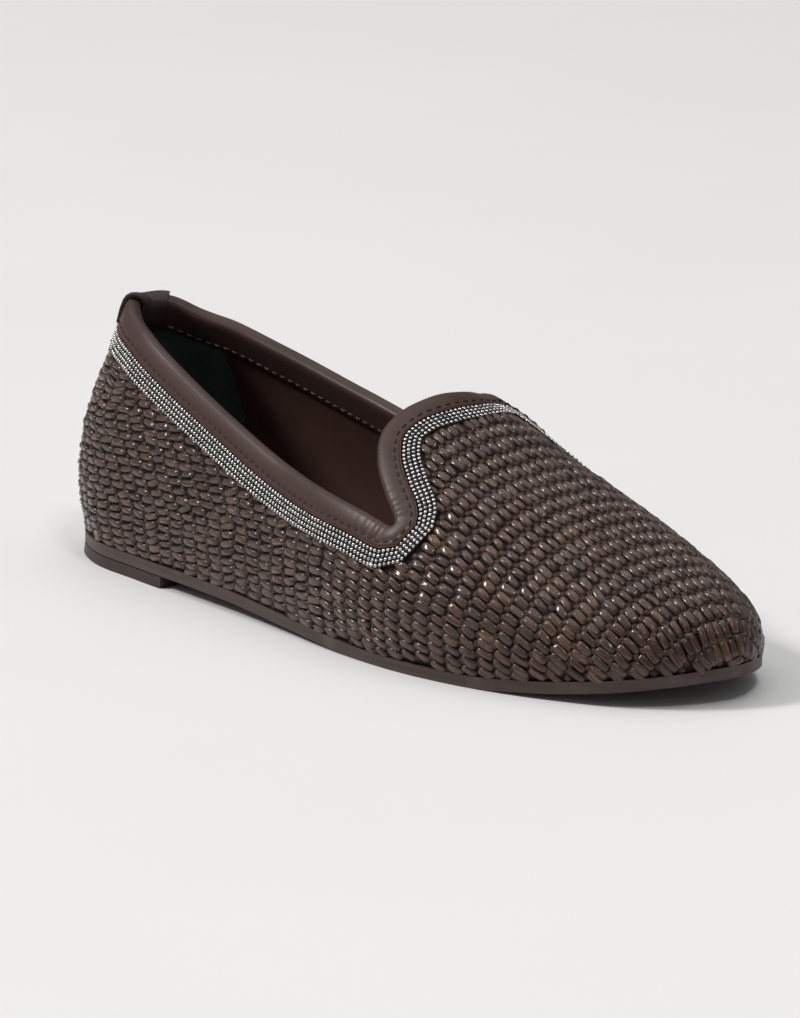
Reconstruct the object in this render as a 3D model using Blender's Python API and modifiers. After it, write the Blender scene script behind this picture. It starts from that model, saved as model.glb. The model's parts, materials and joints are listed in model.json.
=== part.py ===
"""Raffia slipper, right shoe: woven upper, bound collar with a bead trim, thin sole and low heel.

Sizes are in millimetres and become metres when a mesh is made. The shoe stands on z = 0
with its toe towards +X and its outer side towards -Y. Stations are measured from the
back of the heel.
"""
import bpy
import numpy as np

MM = 0.001
NAME = "raffia_slipper"

LENGTH = 250.0
TOE_TIP_Y = 6.0
SOLE_THICKNESS = 3.2
HEEL_LIFT = 3.5
HEEL_LENGTH = 57.5
HEEL_FLARE = 0.5
EDGE_ROUND = 0.5
UPPER_INSET = 0.7
WALL = 2.0
GAP = 0.3
INSOLE_THICKNESS = 1.6
INSOLE_INSET = 3.4
INSOLE_TOE_ROOM = 2.4
WALL_SWELL = 3.0
RIDGE_OFFSET = 9.0
STRIPS = 8
STRIP_OVER = 1.0
STRIP_UNDER = 0.4
STRIP_GROOVE = 0.22
COLUMNS = 80
WALL_EDGE = 1.6
LEATHER = 1.0
BINDING_INSIDE = 10.0
BEAD_WIDTH = 5.2
BEAD_BASE = 0.5
BEAD_HEIGHT = 0.7
BEAD_ROWS = 4
TAB_WIDTH = 16.0
TAB_GAP = 0.6
TAB_OUTSIDE = 8.2
TAB_INSIDE = 9.2

# Plan of the sole: station, half width on the outer side, half width on the inner side.
PLAN = (
    (5.0, 16.0, 15.0),
    (22.0, 26.5, 25.0),
    (45.0, 30.0, 28.5),
    (75.0, 33.0, 29.5),
    (110.0, 36.5, 30.0),
    (145.0, 40.5, 34.0),
    (172.0, 41.0, 38.0),
    (195.0, 37.5, 39.0),
    (215.0, 31.5, 36.0),
    (233.0, 23.0, 29.0),
    (244.5, 11.0, 18.5),
)

# Sections of the last: station, crown height above the floor, roundness of the section.
SECTIONS = (
    (0.0, 85.0, 1.85),
    (40.0, 82.0, 1.85),
    (80.0, 77.5, 1.88),
    (105.0, 73.0, 1.93),
    (120.0, 69.0, 2.12),
    (140.0, 61.4, 2.48),
    (160.0, 53.5, 2.58),
    (180.0, 45.7, 2.52),
    (200.0, 38.8, 2.45),
    (220.0, 31.5, 2.42),
    (234.0, 26.0, 2.40),
    (243.0, 21.3, 2.40),
    (248.0, 16.0, 2.40),
    (250.0, 10.8, 2.40),
)

# Underside of the sole: station, height above the floor with arch and toe spring.
UNDERSIDE = (
    (0.0, HEEL_LIFT),
    (HEEL_LENGTH, HEEL_LIFT),
    (85.0, 3.3),
    (115.0, 1.9),
    (145.0, 0.4),
    (160.0, 0.0),
    (190.0, 0.0),
    (210.0, 1.2),
    (230.0, 3.6),
    (250.0, 6.8),
)

# Back of the heel: height above the floor, station of the profile.
HEEL_BACK = (
    (0.0, 1.2),
    (6.7, 1.0),
    (20.0, -0.4),
    (34.0, 0.6),
    (48.0, 3.6),
    (58.0, 6.8),
    (70.0, 11.0),
    (90.0, 18.0),
)

# Fold line of the collar from the tongue to the heel: station, share of the half width, height.
COLLAR = (
    (139.0, 0.00, 64.3),
    (138.4, 0.23, 63.1),
    (137.0, 0.42, 59.9),
    (137.8, 0.57, 54.0),
    (143.3, 0.69, 48.0),
    (151.5, 0.78, 42.5),
    (159.0, 0.85, 37.8),
    (159.8, 0.88, 37.0),
    (148.6, 0.87, 38.3),
    (126.0, 0.84, 40.5),
    (101.0, 0.80, 45.2),
    (76.0, 0.74, 52.0),
    (52.0, 0.66, 59.8),
    (34.0, 0.57, 66.6),
    (20.0, 0.42, 71.2),
)
COLLAR_BACK = (11.5, 0.0, 72.5)

# Width of the binding outside: share of the way from tongue to heel, width.
BINDING_WIDTH = (
    (0.0, 6.8),
    (0.3, 6.8),
    (0.46, 7.2),
    (0.57, 7.0),
    (0.68, 6.8),
    (0.8, 7.2),
    (0.88, 7.3),
    (0.95, 7.9),
    (1.0, 8.6),
)

# Where the edge of the tongue stands off the last: side, share of the way to the heel, spread, height.
FLARES = (
    (1, 0.10, 0.045, 3.7),
    (1, 0.03, 0.025, -1.5),
    (-1, 0.045, 0.03, 0.9),
)
FLARE_REACH = 7.5

# Spacing of the columns: share of the columns of one side, share of the way from tongue to heel.
COLUMN_PACE = (
    (0.0, 0.0),
    (0.4, 0.36),
    (0.8, 0.85),
    (1.0, 1.0),
)

# Way down the upper: share along the collar, share along the sole's edge from toe to heel.
FAN = (
    (0.0, 0.0),
    (0.34, 0.42),
    (1.0, 1.0),
)


def curve_of(rows, column=1):
    """Returns a smooth function through the first and the named column of a table."""
    table = np.array(rows, float)
    at = table[:, 0]
    value = table[:, column]
    step = np.diff(at)
    slope = np.diff(value) / step
    both = slope[:-1] + slope[1:]
    inner = np.where(slope[:-1] * slope[1:] > 0, 2 * slope[:-1] * slope[1:] / np.where(both == 0, 1, both), 0)
    tangent = np.concatenate([slope[:1], inner, slope[-1:]])

    def value_at(x):
        x = np.clip(x, at[0], at[-1])
        i = np.clip(np.searchsorted(at, x, side="right") - 1, 0, len(at) - 2)
        t = (x - at[i]) / step[i]
        rise = t * t * (3 - 2 * t) * (value[i + 1] - value[i])
        bend = step[i] * t * (1 - t) * ((1 - t) * tangent[i] - t * tangent[i + 1])
        return value[i] + rise + bend

    return value_at


def closed_curve(points, steps):
    """Returns a closed centripetal curve through the points, with so many steps between each two."""
    points = np.asarray(points, float)
    count = len(points)
    out = []
    for i in range(count):
        p = [points[(i + j - 1) % count] for j in range(4)]
        t = np.cumsum([0.0] + [np.linalg.norm(p[j + 1] - p[j]) ** 0.5 for j in range(3)])
        u = np.linspace(t[1], t[2], steps, endpoint=False)[:, None]
        a = [((t[j + 1] - u) * p[j] + (u - t[j]) * p[j + 1]) / (t[j + 1] - t[j]) for j in range(3)]
        b = [((t[j + 2] - u) * a[j] + (u - t[j]) * a[j + 1]) / (t[j + 2] - t[j]) for j in range(2)]
        out.append(((t[2] - u) * b[0] + (u - t[1]) * b[1]) / (t[2] - t[1]))
    return np.concatenate(out)


def lengths(points):
    """Returns the running length along an open row of points."""
    return np.concatenate([[0.0], np.cumsum(np.linalg.norm(np.diff(points, axis=0), axis=1))])


def along(points, distance):
    """Returns points at the given distances along an open row of points."""
    run = lengths(points)
    return np.stack([np.interp(distance, run, points[:, j]) for j in range(points.shape[1])], -1)


def unit(vectors):
    """Returns the vectors with length one."""
    return vectors / np.maximum(np.linalg.norm(vectors, axis=-1, keepdims=True), 1e-9)


def inset(loop, distance):
    """Returns a closed plan moved inwards by a distance."""
    ahead = unit(np.roll(loop, -1, axis=0) - np.roll(loop, 1, axis=0))
    return loop + distance * np.stack([-ahead[:, 1], ahead[:, 0]], -1)


class Plan:
    """Outer and inner edge of a closed plan, each from the heel's back to the toe's tip."""

    def __init__(self, loop):
        start = np.argmin(loop[:, 0])
        loop = np.roll(loop, -start, axis=0)
        toe = np.argmax(loop[:, 0])
        self.outer = loop[: toe + 1]
        self.inner = np.concatenate([loop[toe:], loop[:1]])[::-1]
        self.back = loop[0, 0]
        self.front = loop[toe, 0]

    def outer_at(self, x):
        return np.interp(x, self.outer[:, 0], self.outer[:, 1])

    def inner_at(self, x):
        return np.interp(x, self.inner[:, 0], self.inner[:, 1])


class Last:
    """The form that the upper is pulled over: a rounded section at every station."""

    def __init__(self):
        outer = [(x, -a) for x, a, b in PLAN]
        inner = [(x, b) for x, a, b in PLAN][::-1]
        self.loop = closed_curve([(0.0, 0.0)] + outer + [(LENGTH, TOE_TIP_Y)] + inner, 24)
        self.sole = Plan(self.loop)
        self.plan = Plan(inset(self.loop, UPPER_INSET))
        self.crown = curve_of(SECTIONS, 1)
        self.roundness = curve_of(SECTIONS, 2)
        self.underside = curve_of(UNDERSIDE)
        self.heel_back = curve_of(HEEL_BACK)

    def feather(self, x):
        """Height of the sole's top, where the upper starts."""
        return self.underside(x) + SOLE_THICKNESS

    def ridge(self, x):
        """Sideways place of the highest line of the foot."""
        rise = RIDGE_OFFSET * np.clip((x - self.plan.back) / 110.0, 0, 1)
        toe = np.clip((x - 190.0) / (self.plan.front - 190.0), 0, 1) ** 2
        return rise + (self.plan.outer[-1, 1] - RIDGE_OFFSET) * toe

    def level(self, p):
        """Below zero inside the last and above zero outside."""
        x, y, z = p[..., 0], p[..., 1], p[..., 2]
        back, front = self.plan.back, self.plan.front
        x = front - (front - x) * (front - back) / (front - self.heel_back(z))
        ridge = self.ridge(x)
        feather = self.feather(x)
        up = np.clip((z - feather) / np.maximum(self.crown(x) - feather, 0.001), 0, None)
        within = np.clip(x, back + 1e-4, front - 1e-4)
        swell = WALL_SWELL * np.sin(np.pi * np.clip(up / 0.8, 0, 1))
        swell = swell * np.clip((front - x) / 60.0, 0, 1) * np.clip((x - back) / 10.0, 0, 1)
        side = np.where(y < ridge, ridge - self.plan.outer_at(within), self.plan.inner_at(within) - ridge)
        power = self.roundness(x)
        value = (np.abs(y - ridge) / np.maximum(side + swell, 0.001)) ** power + up ** power - 1
        beyond = np.maximum(back - x, x - front)
        return np.where(beyond > 0, 1 + beyond, value)

    def centre(self, p):
        """Point inside the last from which a surface point is seen."""
        x = np.clip(p[..., 0], 36.0, 212.0)
        return np.stack([x, self.ridge(x), self.feather(x) + 6.0], -1)

    def skin(self, p):
        """Points moved straight out from the centre to the surface of the last."""
        centre = self.centre(p)
        ray = p - centre
        low = np.zeros(p.shape[:-1])
        high = np.full(p.shape[:-1], 6.0)
        for _ in range(40):
            middle = (low + high) / 2
            outside = self.level(centre + middle[..., None] * ray) > 0
            high = np.where(outside, middle, high)
            low = np.where(outside, low, middle)
        return centre + low[..., None] * ray

    def normal(self, p):
        """Outward directions of the surface at points on it."""
        out = unit(p - self.centre(p))
        side = unit(np.cross(out, np.array([0.3, 0.2, 1.0])))
        other = np.cross(out, side)
        a = self.skin(p + side) - self.skin(p - side)
        b = self.skin(p + other) - self.skin(p - other)
        square = unit(np.cross(a, b))
        return square * np.sign(np.sum(square * out, -1, keepdims=True))

    def collar(self):
        """Fold line of the collar from the tongue round the outer side, heel and inner side."""

        def place(x, share, z, side):
            ridge = self.ridge(x)
            half = ridge - self.plan.outer_at(x) if side < 0 else self.plan.inner_at(x) - ridge
            return (x, ridge + side * share * half, z)

        outer = [place(x, share, z, -1) for x, share, z in COLLAR]
        inner = [place(x, share, z, 1) for x, share, z in COLLAR[1:]][::-1]
        points = self.skin(np.array(outer + [COLLAR_BACK] + inner))
        return self.skin(closed_curve(points, 24))


class Pattern:
    """Lines that run from the collar's fold down the upper to the sole, one for each column."""

    REACH = 16

    def __init__(self, last):
        self.last = last
        fold = last.collar()
        fold = np.concatenate([fold, fold[:1]])
        fold = last.skin(along(fold, np.linspace(0, lengths(fold)[-1], 720, endpoint=False)))
        ahead = unit(np.roll(fold, -1, axis=0) - np.roll(fold, 1, axis=0))
        step = np.cross(last.normal(fold), ahead)
        path = [fold]
        for _ in range(self.REACH):
            path.append(last.skin(path[-1] + step))
            step = unit(path[-1] - path[-2])
        self.path = np.stack(path, 1)
        self.heel = int(np.argmin(fold[:, 0]))
        toe = np.argmax(last.plan.outer[:, 0])
        self.edges = (last.plan.outer[: toe + 1][::-1], last.plan.inner[::-1])
        self.path = self.path + grid_normals(self.path, last) * self.flare()[..., None]

    def flare(self):
        """How far the edge of the tongue stands off the last, for each place and distance."""
        run = self.run()
        heel = run[self.heel]
        here = run[:-1]
        way = np.where(here <= heel, -here / heel, (run[-1] - here) / (run[-1] - heel))
        stand = 0 * way
        for side, share, spread, height in FLARES:
            stand = stand + height * np.exp(-(((way - side * share) / spread) ** 2))
        return stand[:, None] * np.exp(-((np.arange(self.REACH + 1) / FLARE_REACH) ** 2))

    def run(self):
        """Way round the collar to each place, midway between fold and trim."""
        run = 0.0
        for row in (0, -1):
            run = run + lengths(np.concatenate([self.path[:, row], self.path[:1, row]])) / 2
        return run

    def at(self, place):
        """Marched points of the collar at a place counted in steps round it."""
        count = len(self.path)
        i = np.floor(place).astype(int)
        t = (place - i)[..., None, None]
        return self.path[i % count] * (1 - t) + self.path[(i + 1) % count] * t

    def places(self, columns):
        """Places round the collar, even between fold and trim, with their shares to the heel and sides."""
        count = len(self.path)
        run = self.run()
        half = columns // 2
        pace = curve_of(COLUMN_PACE)(np.arange(half) / half)
        home = curve_of(COLUMN_PACE)(1 - np.arange(half) / half)
        heel = run[self.heel]
        spot = np.concatenate([heel * pace, run[-1] - (run[-1] - heel) * home])
        place = np.interp(spot, run, np.arange(count + 1))
        share = np.concatenate([pace, home])
        side = np.concatenate([np.zeros(half, int), np.ones(half, int)])
        return place, share, side

    def lines(self, place, share, side):
        """One fine line of points for each place, from the fold to the sole's edge."""
        marched = self.at(place)
        fan = curve_of(FAN)(share)
        foot = []
        for s, f in zip(side, fan):
            edge = self.edges[s]
            xy = along(edge, f * lengths(edge)[-1])
            foot.append((xy[0], xy[1], self.last.feather(xy[0]) + GAP))
        foot = np.array(foot)
        start = marched[:, -1]
        reach = np.linalg.norm(foot - start, axis=-1)[:, None]
        bend = start + 0.35 * reach * unit(marched[:, -1] - marched[:, -3])
        t = np.linspace(0, 1, 40)[1:, None, None]
        sweep = (1 - t) ** 2 * start + 2 * t * (1 - t) * bend + t ** 2 * foot
        sweep = self.last.skin(sweep)
        sweep[-1] = foot
        return np.concatenate([marched, np.swapaxes(sweep, 0, 1)], 1)

    def sheet(self, lines, rows, closed=True):
        """Points and outward directions at each column's distances from the fold."""
        fine = [np.linspace(0, lengths(line)[-1], 90) for line in lines]
        base = np.stack([along(line, row) for line, row in zip(lines, fine)])
        normals = grid_normals(base, self.last, closed)
        points = []
        squares = []
        for run, spot, square, row in zip(fine, base, normals, rows):
            points.append([np.interp(row, run, spot[:, j]) for j in range(3)])
            squares.append([np.interp(row, run, square[:, j]) for j in range(3)])
        return np.swapaxes(points, 1, 2), unit(np.swapaxes(squares, 1, 2))


def grid_normals(grid, last, closed=True):
    """Outward directions of a grid of columns and rows."""
    if closed:
        across = np.roll(grid, -1, axis=0) - np.roll(grid, 1, axis=0)
    else:
        across = np.gradient(grid, axis=0)
    square = unit(np.cross(across, np.gradient(grid, axis=1)))
    out = grid - last.centre(grid)
    return square * np.sign(np.sum(square * out, -1, keepdims=True))


def loft(grid, closed):
    """Closed solid from columns of section rings; open lofts get flat caps made of quads."""
    columns, ring = grid.shape[:2]
    faces = []
    for i in range(columns if closed else columns - 1):
        n = (i + 1) % columns
        for j in range(ring):
            k = (j + 1) % ring
            faces.append((i * ring + j, n * ring + j, n * ring + k, i * ring + k))
    if not closed:
        last = (columns - 1) * ring
        for j in range(ring // 2 - 1):
            a, b, c, d = j, j + 1, ring - 2 - j, ring - 1 - j
            faces.append((a, b, c, d))
            faces.append((last + d, last + c, last + b, last + a))
    return grid.reshape(-1, 3), faces


def slab(plan, rows, across, low, high, cut=None, spread=0.0):
    """Solid between two heights over a plan, with a straight cut at a station if one is given."""
    share = (1 - np.cos(np.linspace(0, np.pi, rows))) / 2
    limit = []
    for edge in (plan.outer, plan.inner):
        run = lengths(edge)
        end = run[-1] if cut is None else np.interp(cut, edge[:, 0], run)
        limit.append(along(edge, share * end if cut is None else np.sin(share * np.pi / 2) * end))
    outer, inner = limit
    points = []
    for height in (high, low):
        for i in range(rows):
            pointed = i == 0 or (cut is None and i == rows - 1)
            for t in [0.5] if pointed else np.linspace(0, 1, across):
                x, y = outer[i] * (1 - t) + inner[i] * t
                points.append((x, y, height(x)))
    start = [0]
    for i in range(rows):
        pointed = i == 0 or (cut is None and i == rows - 1)
        start.append(start[-1] + (1 if pointed else across))
    half = start[-1]
    faces = []
    for i in range(rows - 1):
        a, b = start[i], start[i + 1]
        one, two = start[i + 1] - start[i] == 1, start[i + 2] - start[i + 1] == 1
        for j in range(across - 1):
            if one:
                top = (a, b + j, b + j + 1)
            elif two:
                top = (a + j, b, a + j + 1)
            else:
                top = (a + j, b + j, b + j + 1, a + j + 1)
            faces.append(top)
            faces.append(tuple(half + v for v in reversed(top)))
        near = (a, b)
        far = (start[i + 1] - 1, start[i + 2] - 1)
        faces.append((near[0] + half, near[1] + half, near[1], near[0]))
        faces.append((far[0], far[1], far[1] + half, far[0] + half))
    if cut is not None:
        a = start[rows - 1]
        for j in range(across - 1):
            faces.append((a + j + half, a + j + 1 + half, a + j + 1, a + j))
    points = np.array(points)
    if spread:
        middle = np.array([HEEL_LENGTH, 0.0])
        away = unit(points[half:, :2] - middle)
        rim = np.linalg.norm(points[half:, :2] - middle, axis=1) / HEEL_LENGTH
        points[half:, :2] += away * np.minimum(rim, 1)[:, None] * spread
        points[half:, 0] = np.minimum(points[half:, 0], cut)
    return points, faces


def widen(profile, distance):
    """Section line moved to its left by a distance."""
    profile = np.asarray(profile, float)
    leg = unit(np.diff(profile, axis=0))
    square = np.stack([-leg[:, 1], leg[:, 0]], -1)
    first = np.concatenate([square[:1], square])
    second = np.concatenate([square, square[-1:]])
    mean = unit(first + second)
    return profile + mean * (distance / np.sum(mean * first, -1))[:, None]


def folded(pattern, lines, sections, closed):
    """Loft whose sections are given as distance down the line and height off the wall."""
    sections = np.asarray(sections)
    points, squares = pattern.sheet(lines, sections[..., 0], closed)
    return loft(points + squares * sections[..., 1:], closed)


def binding_profile(width):
    """Outer line of the folded leather from its lower edge outside to its lower edge inside."""
    face = GAP + LEATHER
    back = -WALL - GAP - LEATHER
    return [
        (width - 0.8, face - 0.1),
        (width * 0.45, face + 0.2),
        (1.6, face),
        (0.2, 0.2),
        (0.2, -WALL - 0.2),
        (1.6, back),
        (BINDING_INSIDE - 0.6, back),
    ]


def upper_solid(pattern, lines, width):
    """Woven wall of vamp and quarters: raised strips outside, smooth inside, open above and below."""
    trim = width + GAP + BEAD_WIDTH + 0.5
    total = np.array([lengths(line)[-1] for line in lines])
    pitch = (total - trim) / STRIPS
    rows = [np.full(len(lines), WALL_EDGE), width * 0.5, width]
    column = np.arange(len(lines))
    raised = [0 * width] * 3
    for strip in range(STRIPS):
        height = np.where((column + strip) % 2 == 0, STRIP_OVER, STRIP_UNDER)
        rows += [trim + pitch * (strip + part) for part in (0.0, STRIP_GROOVE, 1.0 - STRIP_GROOVE)]
        raised += [0 * width, height, height]
    outer, away = pattern.sheet(lines, np.stack(rows + [total], 1))
    raised = np.stack(raised + [0 * width], 1)
    hollow = np.linspace(1, 0, 6)
    under = []
    for end in total:
        lower = BINDING_INSIDE + 0.5
        under.append(list(lower + (end - lower) * hollow) + [BINDING_INSIDE * 0.55, WALL_EDGE])
    inner, square = pattern.sheet(lines, under)
    wall = np.concatenate([outer + away * raised[..., None], inner - WALL * square], 1)
    floor = pattern.last.feather(wall[..., 0]) + GAP
    wall[..., 2] = np.maximum(wall[..., 2], floor)
    return loft(wall, True)


def binding_solid(pattern, lines, width):
    """Leather strip rolled over the edge of the wall all round the collar."""
    sections = []
    for w in width:
        under = [
            (BINDING_INSIDE, -WALL - GAP),
            (BINDING_INSIDE * 0.55, -WALL - GAP),
            (WALL_EDGE - GAP, -WALL - GAP),
            (WALL_EDGE - GAP, GAP),
            (w * 0.5, GAP),
            (w, GAP),
        ]
        sections.append(binding_profile(w) + under)
    return folded(pattern, lines, sections, True)


def bead_solid(pattern, lines, width):
    """Band with rows of small balls that follows the lower edge of the binding."""
    sections = []
    pitch = BEAD_WIDTH / BEAD_ROWS
    for w in width:
        start = w + GAP
        section = [(start, GAP)]
        for row in range(BEAD_ROWS):
            section.append((start + row * pitch + 0.05 * pitch, GAP + BEAD_BASE))
            section.append((start + (row + 0.5) * pitch, GAP + BEAD_BASE + BEAD_HEIGHT))
        section.append((start + BEAD_WIDTH - 0.05 * pitch, GAP + BEAD_BASE))
        section.append((start + BEAD_WIDTH, GAP))
        sections.append(section)
    return folded(pattern, lines, sections, True)


def tab_solid(pattern, place):
    """Leather strip folded over the binding at the back of the heel."""
    step = lengths(pattern.path[:, 0])[-1] / (len(pattern.path) - 1)
    reach = TAB_WIDTH / 2 / step
    within = place[np.abs(place - pattern.heel) < reach - 1.0]
    ends = [pattern.heel - reach, pattern.heel + reach]
    spots = np.sort(np.concatenate([within, ends]))
    lines = pattern.lines(spots, 1.0 + 0 * spots, np.zeros(len(spots), int))
    profile = binding_profile(BINDING_WIDTH[-1][1])
    profile[0] = (TAB_OUTSIDE, profile[0][1])
    profile[-1] = (TAB_INSIDE, profile[-1][1])
    near = widen(profile, -TAB_GAP)
    far = widen(profile, -TAB_GAP - LEATHER)
    section = np.concatenate([far, near[::-1]])
    return tab_loft(pattern, lines, section)


def tab_loft(pattern, lines, section):
    """Loft of the tab, with its crown carried above the fold along the wall's own line."""
    ahead = unit(lines[:, 1] - lines[:, 0])
    lines = np.concatenate([(lines[:, 0] - 3.0 * ahead)[:, None], lines], 1)
    section = section + np.array([3.0, 0.0])
    return folded(pattern, lines, [section] * len(lines), False)


def material_of(name, colour, roughness):
    """Plain material for one piece."""
    made = bpy.data.materials.new(name)
    made.use_nodes = True
    shader = made.node_tree.nodes["Principled BSDF"]
    shader.inputs["Base Color"].default_value = (*colour, 1.0)
    shader.inputs["Roughness"].default_value = roughness
    made.diffuse_color = (*colour, 1.0)
    return made


def piece(name, points, faces, material, collection):
    """Object with faces turned outwards."""
    a = points[[f[0] for f in faces]]
    volume = 0.0
    for corner in range(1, 3):
        b = points[[f[corner] for f in faces]]
        c = points[[f[(corner + 1) % len(f)] for f in faces]]
        volume += np.sum(a * np.cross(b, c))
    if volume < 0:
        faces = [tuple(reversed(f)) for f in faces]
    mesh = bpy.data.meshes.new(name)
    mesh.from_pydata((points * MM).tolist(), [], faces)
    mesh.materials.append(material)
    made = bpy.data.objects.new(name, mesh)
    collection.objects.link(made)
    return made


def rounded(made, width):
    """Small round on the sharp edges of a piece."""
    bevel = made.modifiers.new("edge_round", "BEVEL")
    bevel.width = width * MM
    bevel.segments = 2
    bevel.limit_method = "ANGLE"
    bevel.angle_limit = 0.9


def build():
    """Makes every piece, centred over the origin and standing on the floor."""
    for old in list(bpy.data.objects):
        bpy.data.objects.remove(old)
    collection = bpy.data.collections.new(NAME)
    bpy.context.scene.collection.children.link(collection)

    last = Last()
    pattern = Pattern(last)
    place, share, side = pattern.places(COLUMNS)
    lines = pattern.lines(place, share, side)
    width = curve_of(BINDING_WIDTH)(share)
    board = inset(last.loop, INSOLE_INSET)
    board[:, 0] -= INSOLE_TOE_ROOM * np.clip((board[:, 0] - 225.0) / 20.0, 0, 1) ** 2

    raffia = material_of("raffia", (0.090, 0.060, 0.042), 0.45)
    leather = material_of("leather", (0.100, 0.068, 0.058), 0.40)
    beads = material_of("beads", (0.420, 0.430, 0.440), 0.25)
    lining = material_of("lining", (0.040, 0.022, 0.018), 0.60)
    sole = material_of("sole", (0.080, 0.060, 0.055), 0.50)
    stack = material_of("heel_stack", (0.070, 0.052, 0.048), 0.50)

    def seat(x):
        return last.feather(x) + GAP

    def footbed(x):
        return last.feather(x) + GAP + INSOLE_THICKNESS

    def heel_top(x):
        return HEEL_LIFT - GAP + 0 * x

    def floor(x):
        return 0.0 * x

    solids = {
        "upper": (*upper_solid(pattern, lines, width), raffia),
        "topline_binding": (*binding_solid(pattern, lines, width), leather),
        "bead_trim": (*bead_solid(pattern, lines, width), beads),
        "back_tab": (*tab_solid(pattern, place), leather),
        "insole": (*slab(Plan(board), 34, 3, seat, footbed), lining),
        "outsole": (*slab(last.sole, 38, 4, last.underside, last.feather), sole),
        "heel": (*slab(last.sole, 14, 4, floor, heel_top, HEEL_LENGTH, HEEL_FLARE), stack),
    }
    every = np.concatenate([points for points, faces, material in solids.values()])
    middle = (every.min(0) + every.max(0)) / 2
    middle[2] = 0.0
    for name, (points, faces, material) in solids.items():
        made = piece(name, points - middle, faces, material, collection)
        if name in ("outsole", "heel"):
            rounded(made, EDGE_ROUND)


build()
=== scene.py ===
"""Raffia slipper, right shoe: woven upper, bound collar with ball chain, lining, thin sole and low heel.

Sizes are in millimetres in the maker's own frame: stations run from the back of the heel to
the toe, the outer side lies towards -Y and the floor is z = 0. A mesh is moved into the row
frame and turned into metres when it is made.
"""
import json
import logging
from dataclasses import dataclass, replace
from enum import Enum
from typing import Callable, Optional, Sequence, Union

import bpy
import numpy as np
from bpy.types import ID, Material, Mesh, Modifier, Node, NodeSocket, NodeTree, Object
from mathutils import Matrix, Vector
from mathutils.kdtree import KDTree

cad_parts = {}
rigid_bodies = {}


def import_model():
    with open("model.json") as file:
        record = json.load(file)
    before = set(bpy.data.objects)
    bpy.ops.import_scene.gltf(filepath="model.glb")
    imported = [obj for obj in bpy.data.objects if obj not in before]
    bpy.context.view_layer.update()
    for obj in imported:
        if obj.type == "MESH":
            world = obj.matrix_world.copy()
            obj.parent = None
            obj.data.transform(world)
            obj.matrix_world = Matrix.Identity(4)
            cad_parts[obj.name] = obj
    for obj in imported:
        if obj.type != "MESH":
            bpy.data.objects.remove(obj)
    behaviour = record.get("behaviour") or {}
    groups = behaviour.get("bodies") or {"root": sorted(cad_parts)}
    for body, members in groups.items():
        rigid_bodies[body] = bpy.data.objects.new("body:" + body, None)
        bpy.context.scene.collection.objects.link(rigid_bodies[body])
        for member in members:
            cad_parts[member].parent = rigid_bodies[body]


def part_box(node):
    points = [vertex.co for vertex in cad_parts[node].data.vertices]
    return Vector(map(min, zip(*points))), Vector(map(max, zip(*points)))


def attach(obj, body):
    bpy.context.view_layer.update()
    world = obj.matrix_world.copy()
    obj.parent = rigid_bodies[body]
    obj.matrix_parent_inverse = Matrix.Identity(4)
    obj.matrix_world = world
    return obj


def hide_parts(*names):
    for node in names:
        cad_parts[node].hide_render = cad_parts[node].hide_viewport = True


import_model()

LOG = logging.getLogger("raffia_slipper")
MM = 0.001
BODY = "root"

Array = np.ndarray
Faces = list[tuple[int, ...]]
Colour = tuple[float, float, float]
CURVE_STEPS = 24

# Plan of the sole: station, half width on the outer side, half width on the inner side.
PLAN = (
    (5.0, 16.0, 15.0), (22.0, 26.5, 25.0), (45.0, 30.0, 28.5), (75.0, 33.0, 29.5),
    (110.0, 36.5, 30.0), (145.0, 40.5, 34.0), (172.0, 41.0, 38.0), (195.0, 37.5, 39.0),
    (215.0, 31.5, 36.0), (233.0, 23.0, 29.0), (244.5, 11.0, 18.5),
)

# Sections of the last: station, crown height above the floor, roundness of the section.
SECTIONS = (
    (0.0, 85.0, 1.85), (40.0, 82.0, 1.85), (80.0, 77.5, 1.88), (105.0, 73.0, 1.93),
    (120.0, 69.0, 2.12), (140.0, 61.4, 2.48), (160.0, 53.5, 2.58), (180.0, 45.7, 2.52),
    (200.0, 38.8, 2.45), (220.0, 31.5, 2.42), (234.0, 26.0, 2.40), (243.0, 21.3, 2.40),
    (248.0, 16.0, 2.40), (250.0, 10.8, 2.40),
)

# Underside of the sole: station, height above the floor with arch and toe spring.
UNDERSIDE = (
    (0.0, 3.5), (57.5, 3.5), (85.0, 3.3), (115.0, 1.9), (145.0, 0.4), (160.0, 0.0),
    (190.0, 0.0), (210.0, 1.2), (230.0, 3.6), (250.0, 6.8),
)

# Back of the heel: height above the floor, station of the profile.
HEEL_BACK = (
    (0.0, 1.2), (6.7, 1.0), (20.0, -0.4), (34.0, 0.6), (48.0, 3.6), (58.0, 6.8),
    (70.0, 11.0), (90.0, 18.0),
)

# Fold of the collar from the tongue to the heel: station, share of the half width, height.
COLLAR = (
    (139.0, 0.00, 64.3), (138.4, 0.23, 63.1), (137.0, 0.42, 59.9), (137.8, 0.57, 54.0),
    (143.3, 0.69, 48.0), (151.5, 0.78, 42.5), (159.0, 0.85, 37.8), (159.8, 0.88, 37.0),
    (148.6, 0.87, 38.3), (126.0, 0.84, 40.5), (101.0, 0.80, 45.2), (76.0, 0.74, 52.0),
    (52.0, 0.66, 59.8), (34.0, 0.57, 66.6), (20.0, 0.42, 71.2),
)
COLLAR_BACK = (11.5, 0.0, 72.5)

# Width of the binding outside: share of the way from tongue to heel, width.
BINDING_WIDTH = (
    (0.0, 6.8), (0.3, 6.8), (0.46, 7.2), (0.57, 7.0), (0.68, 6.8), (0.8, 7.2), (0.88, 7.3),
    (0.95, 7.9), (1.0, 8.6),
)

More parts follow.
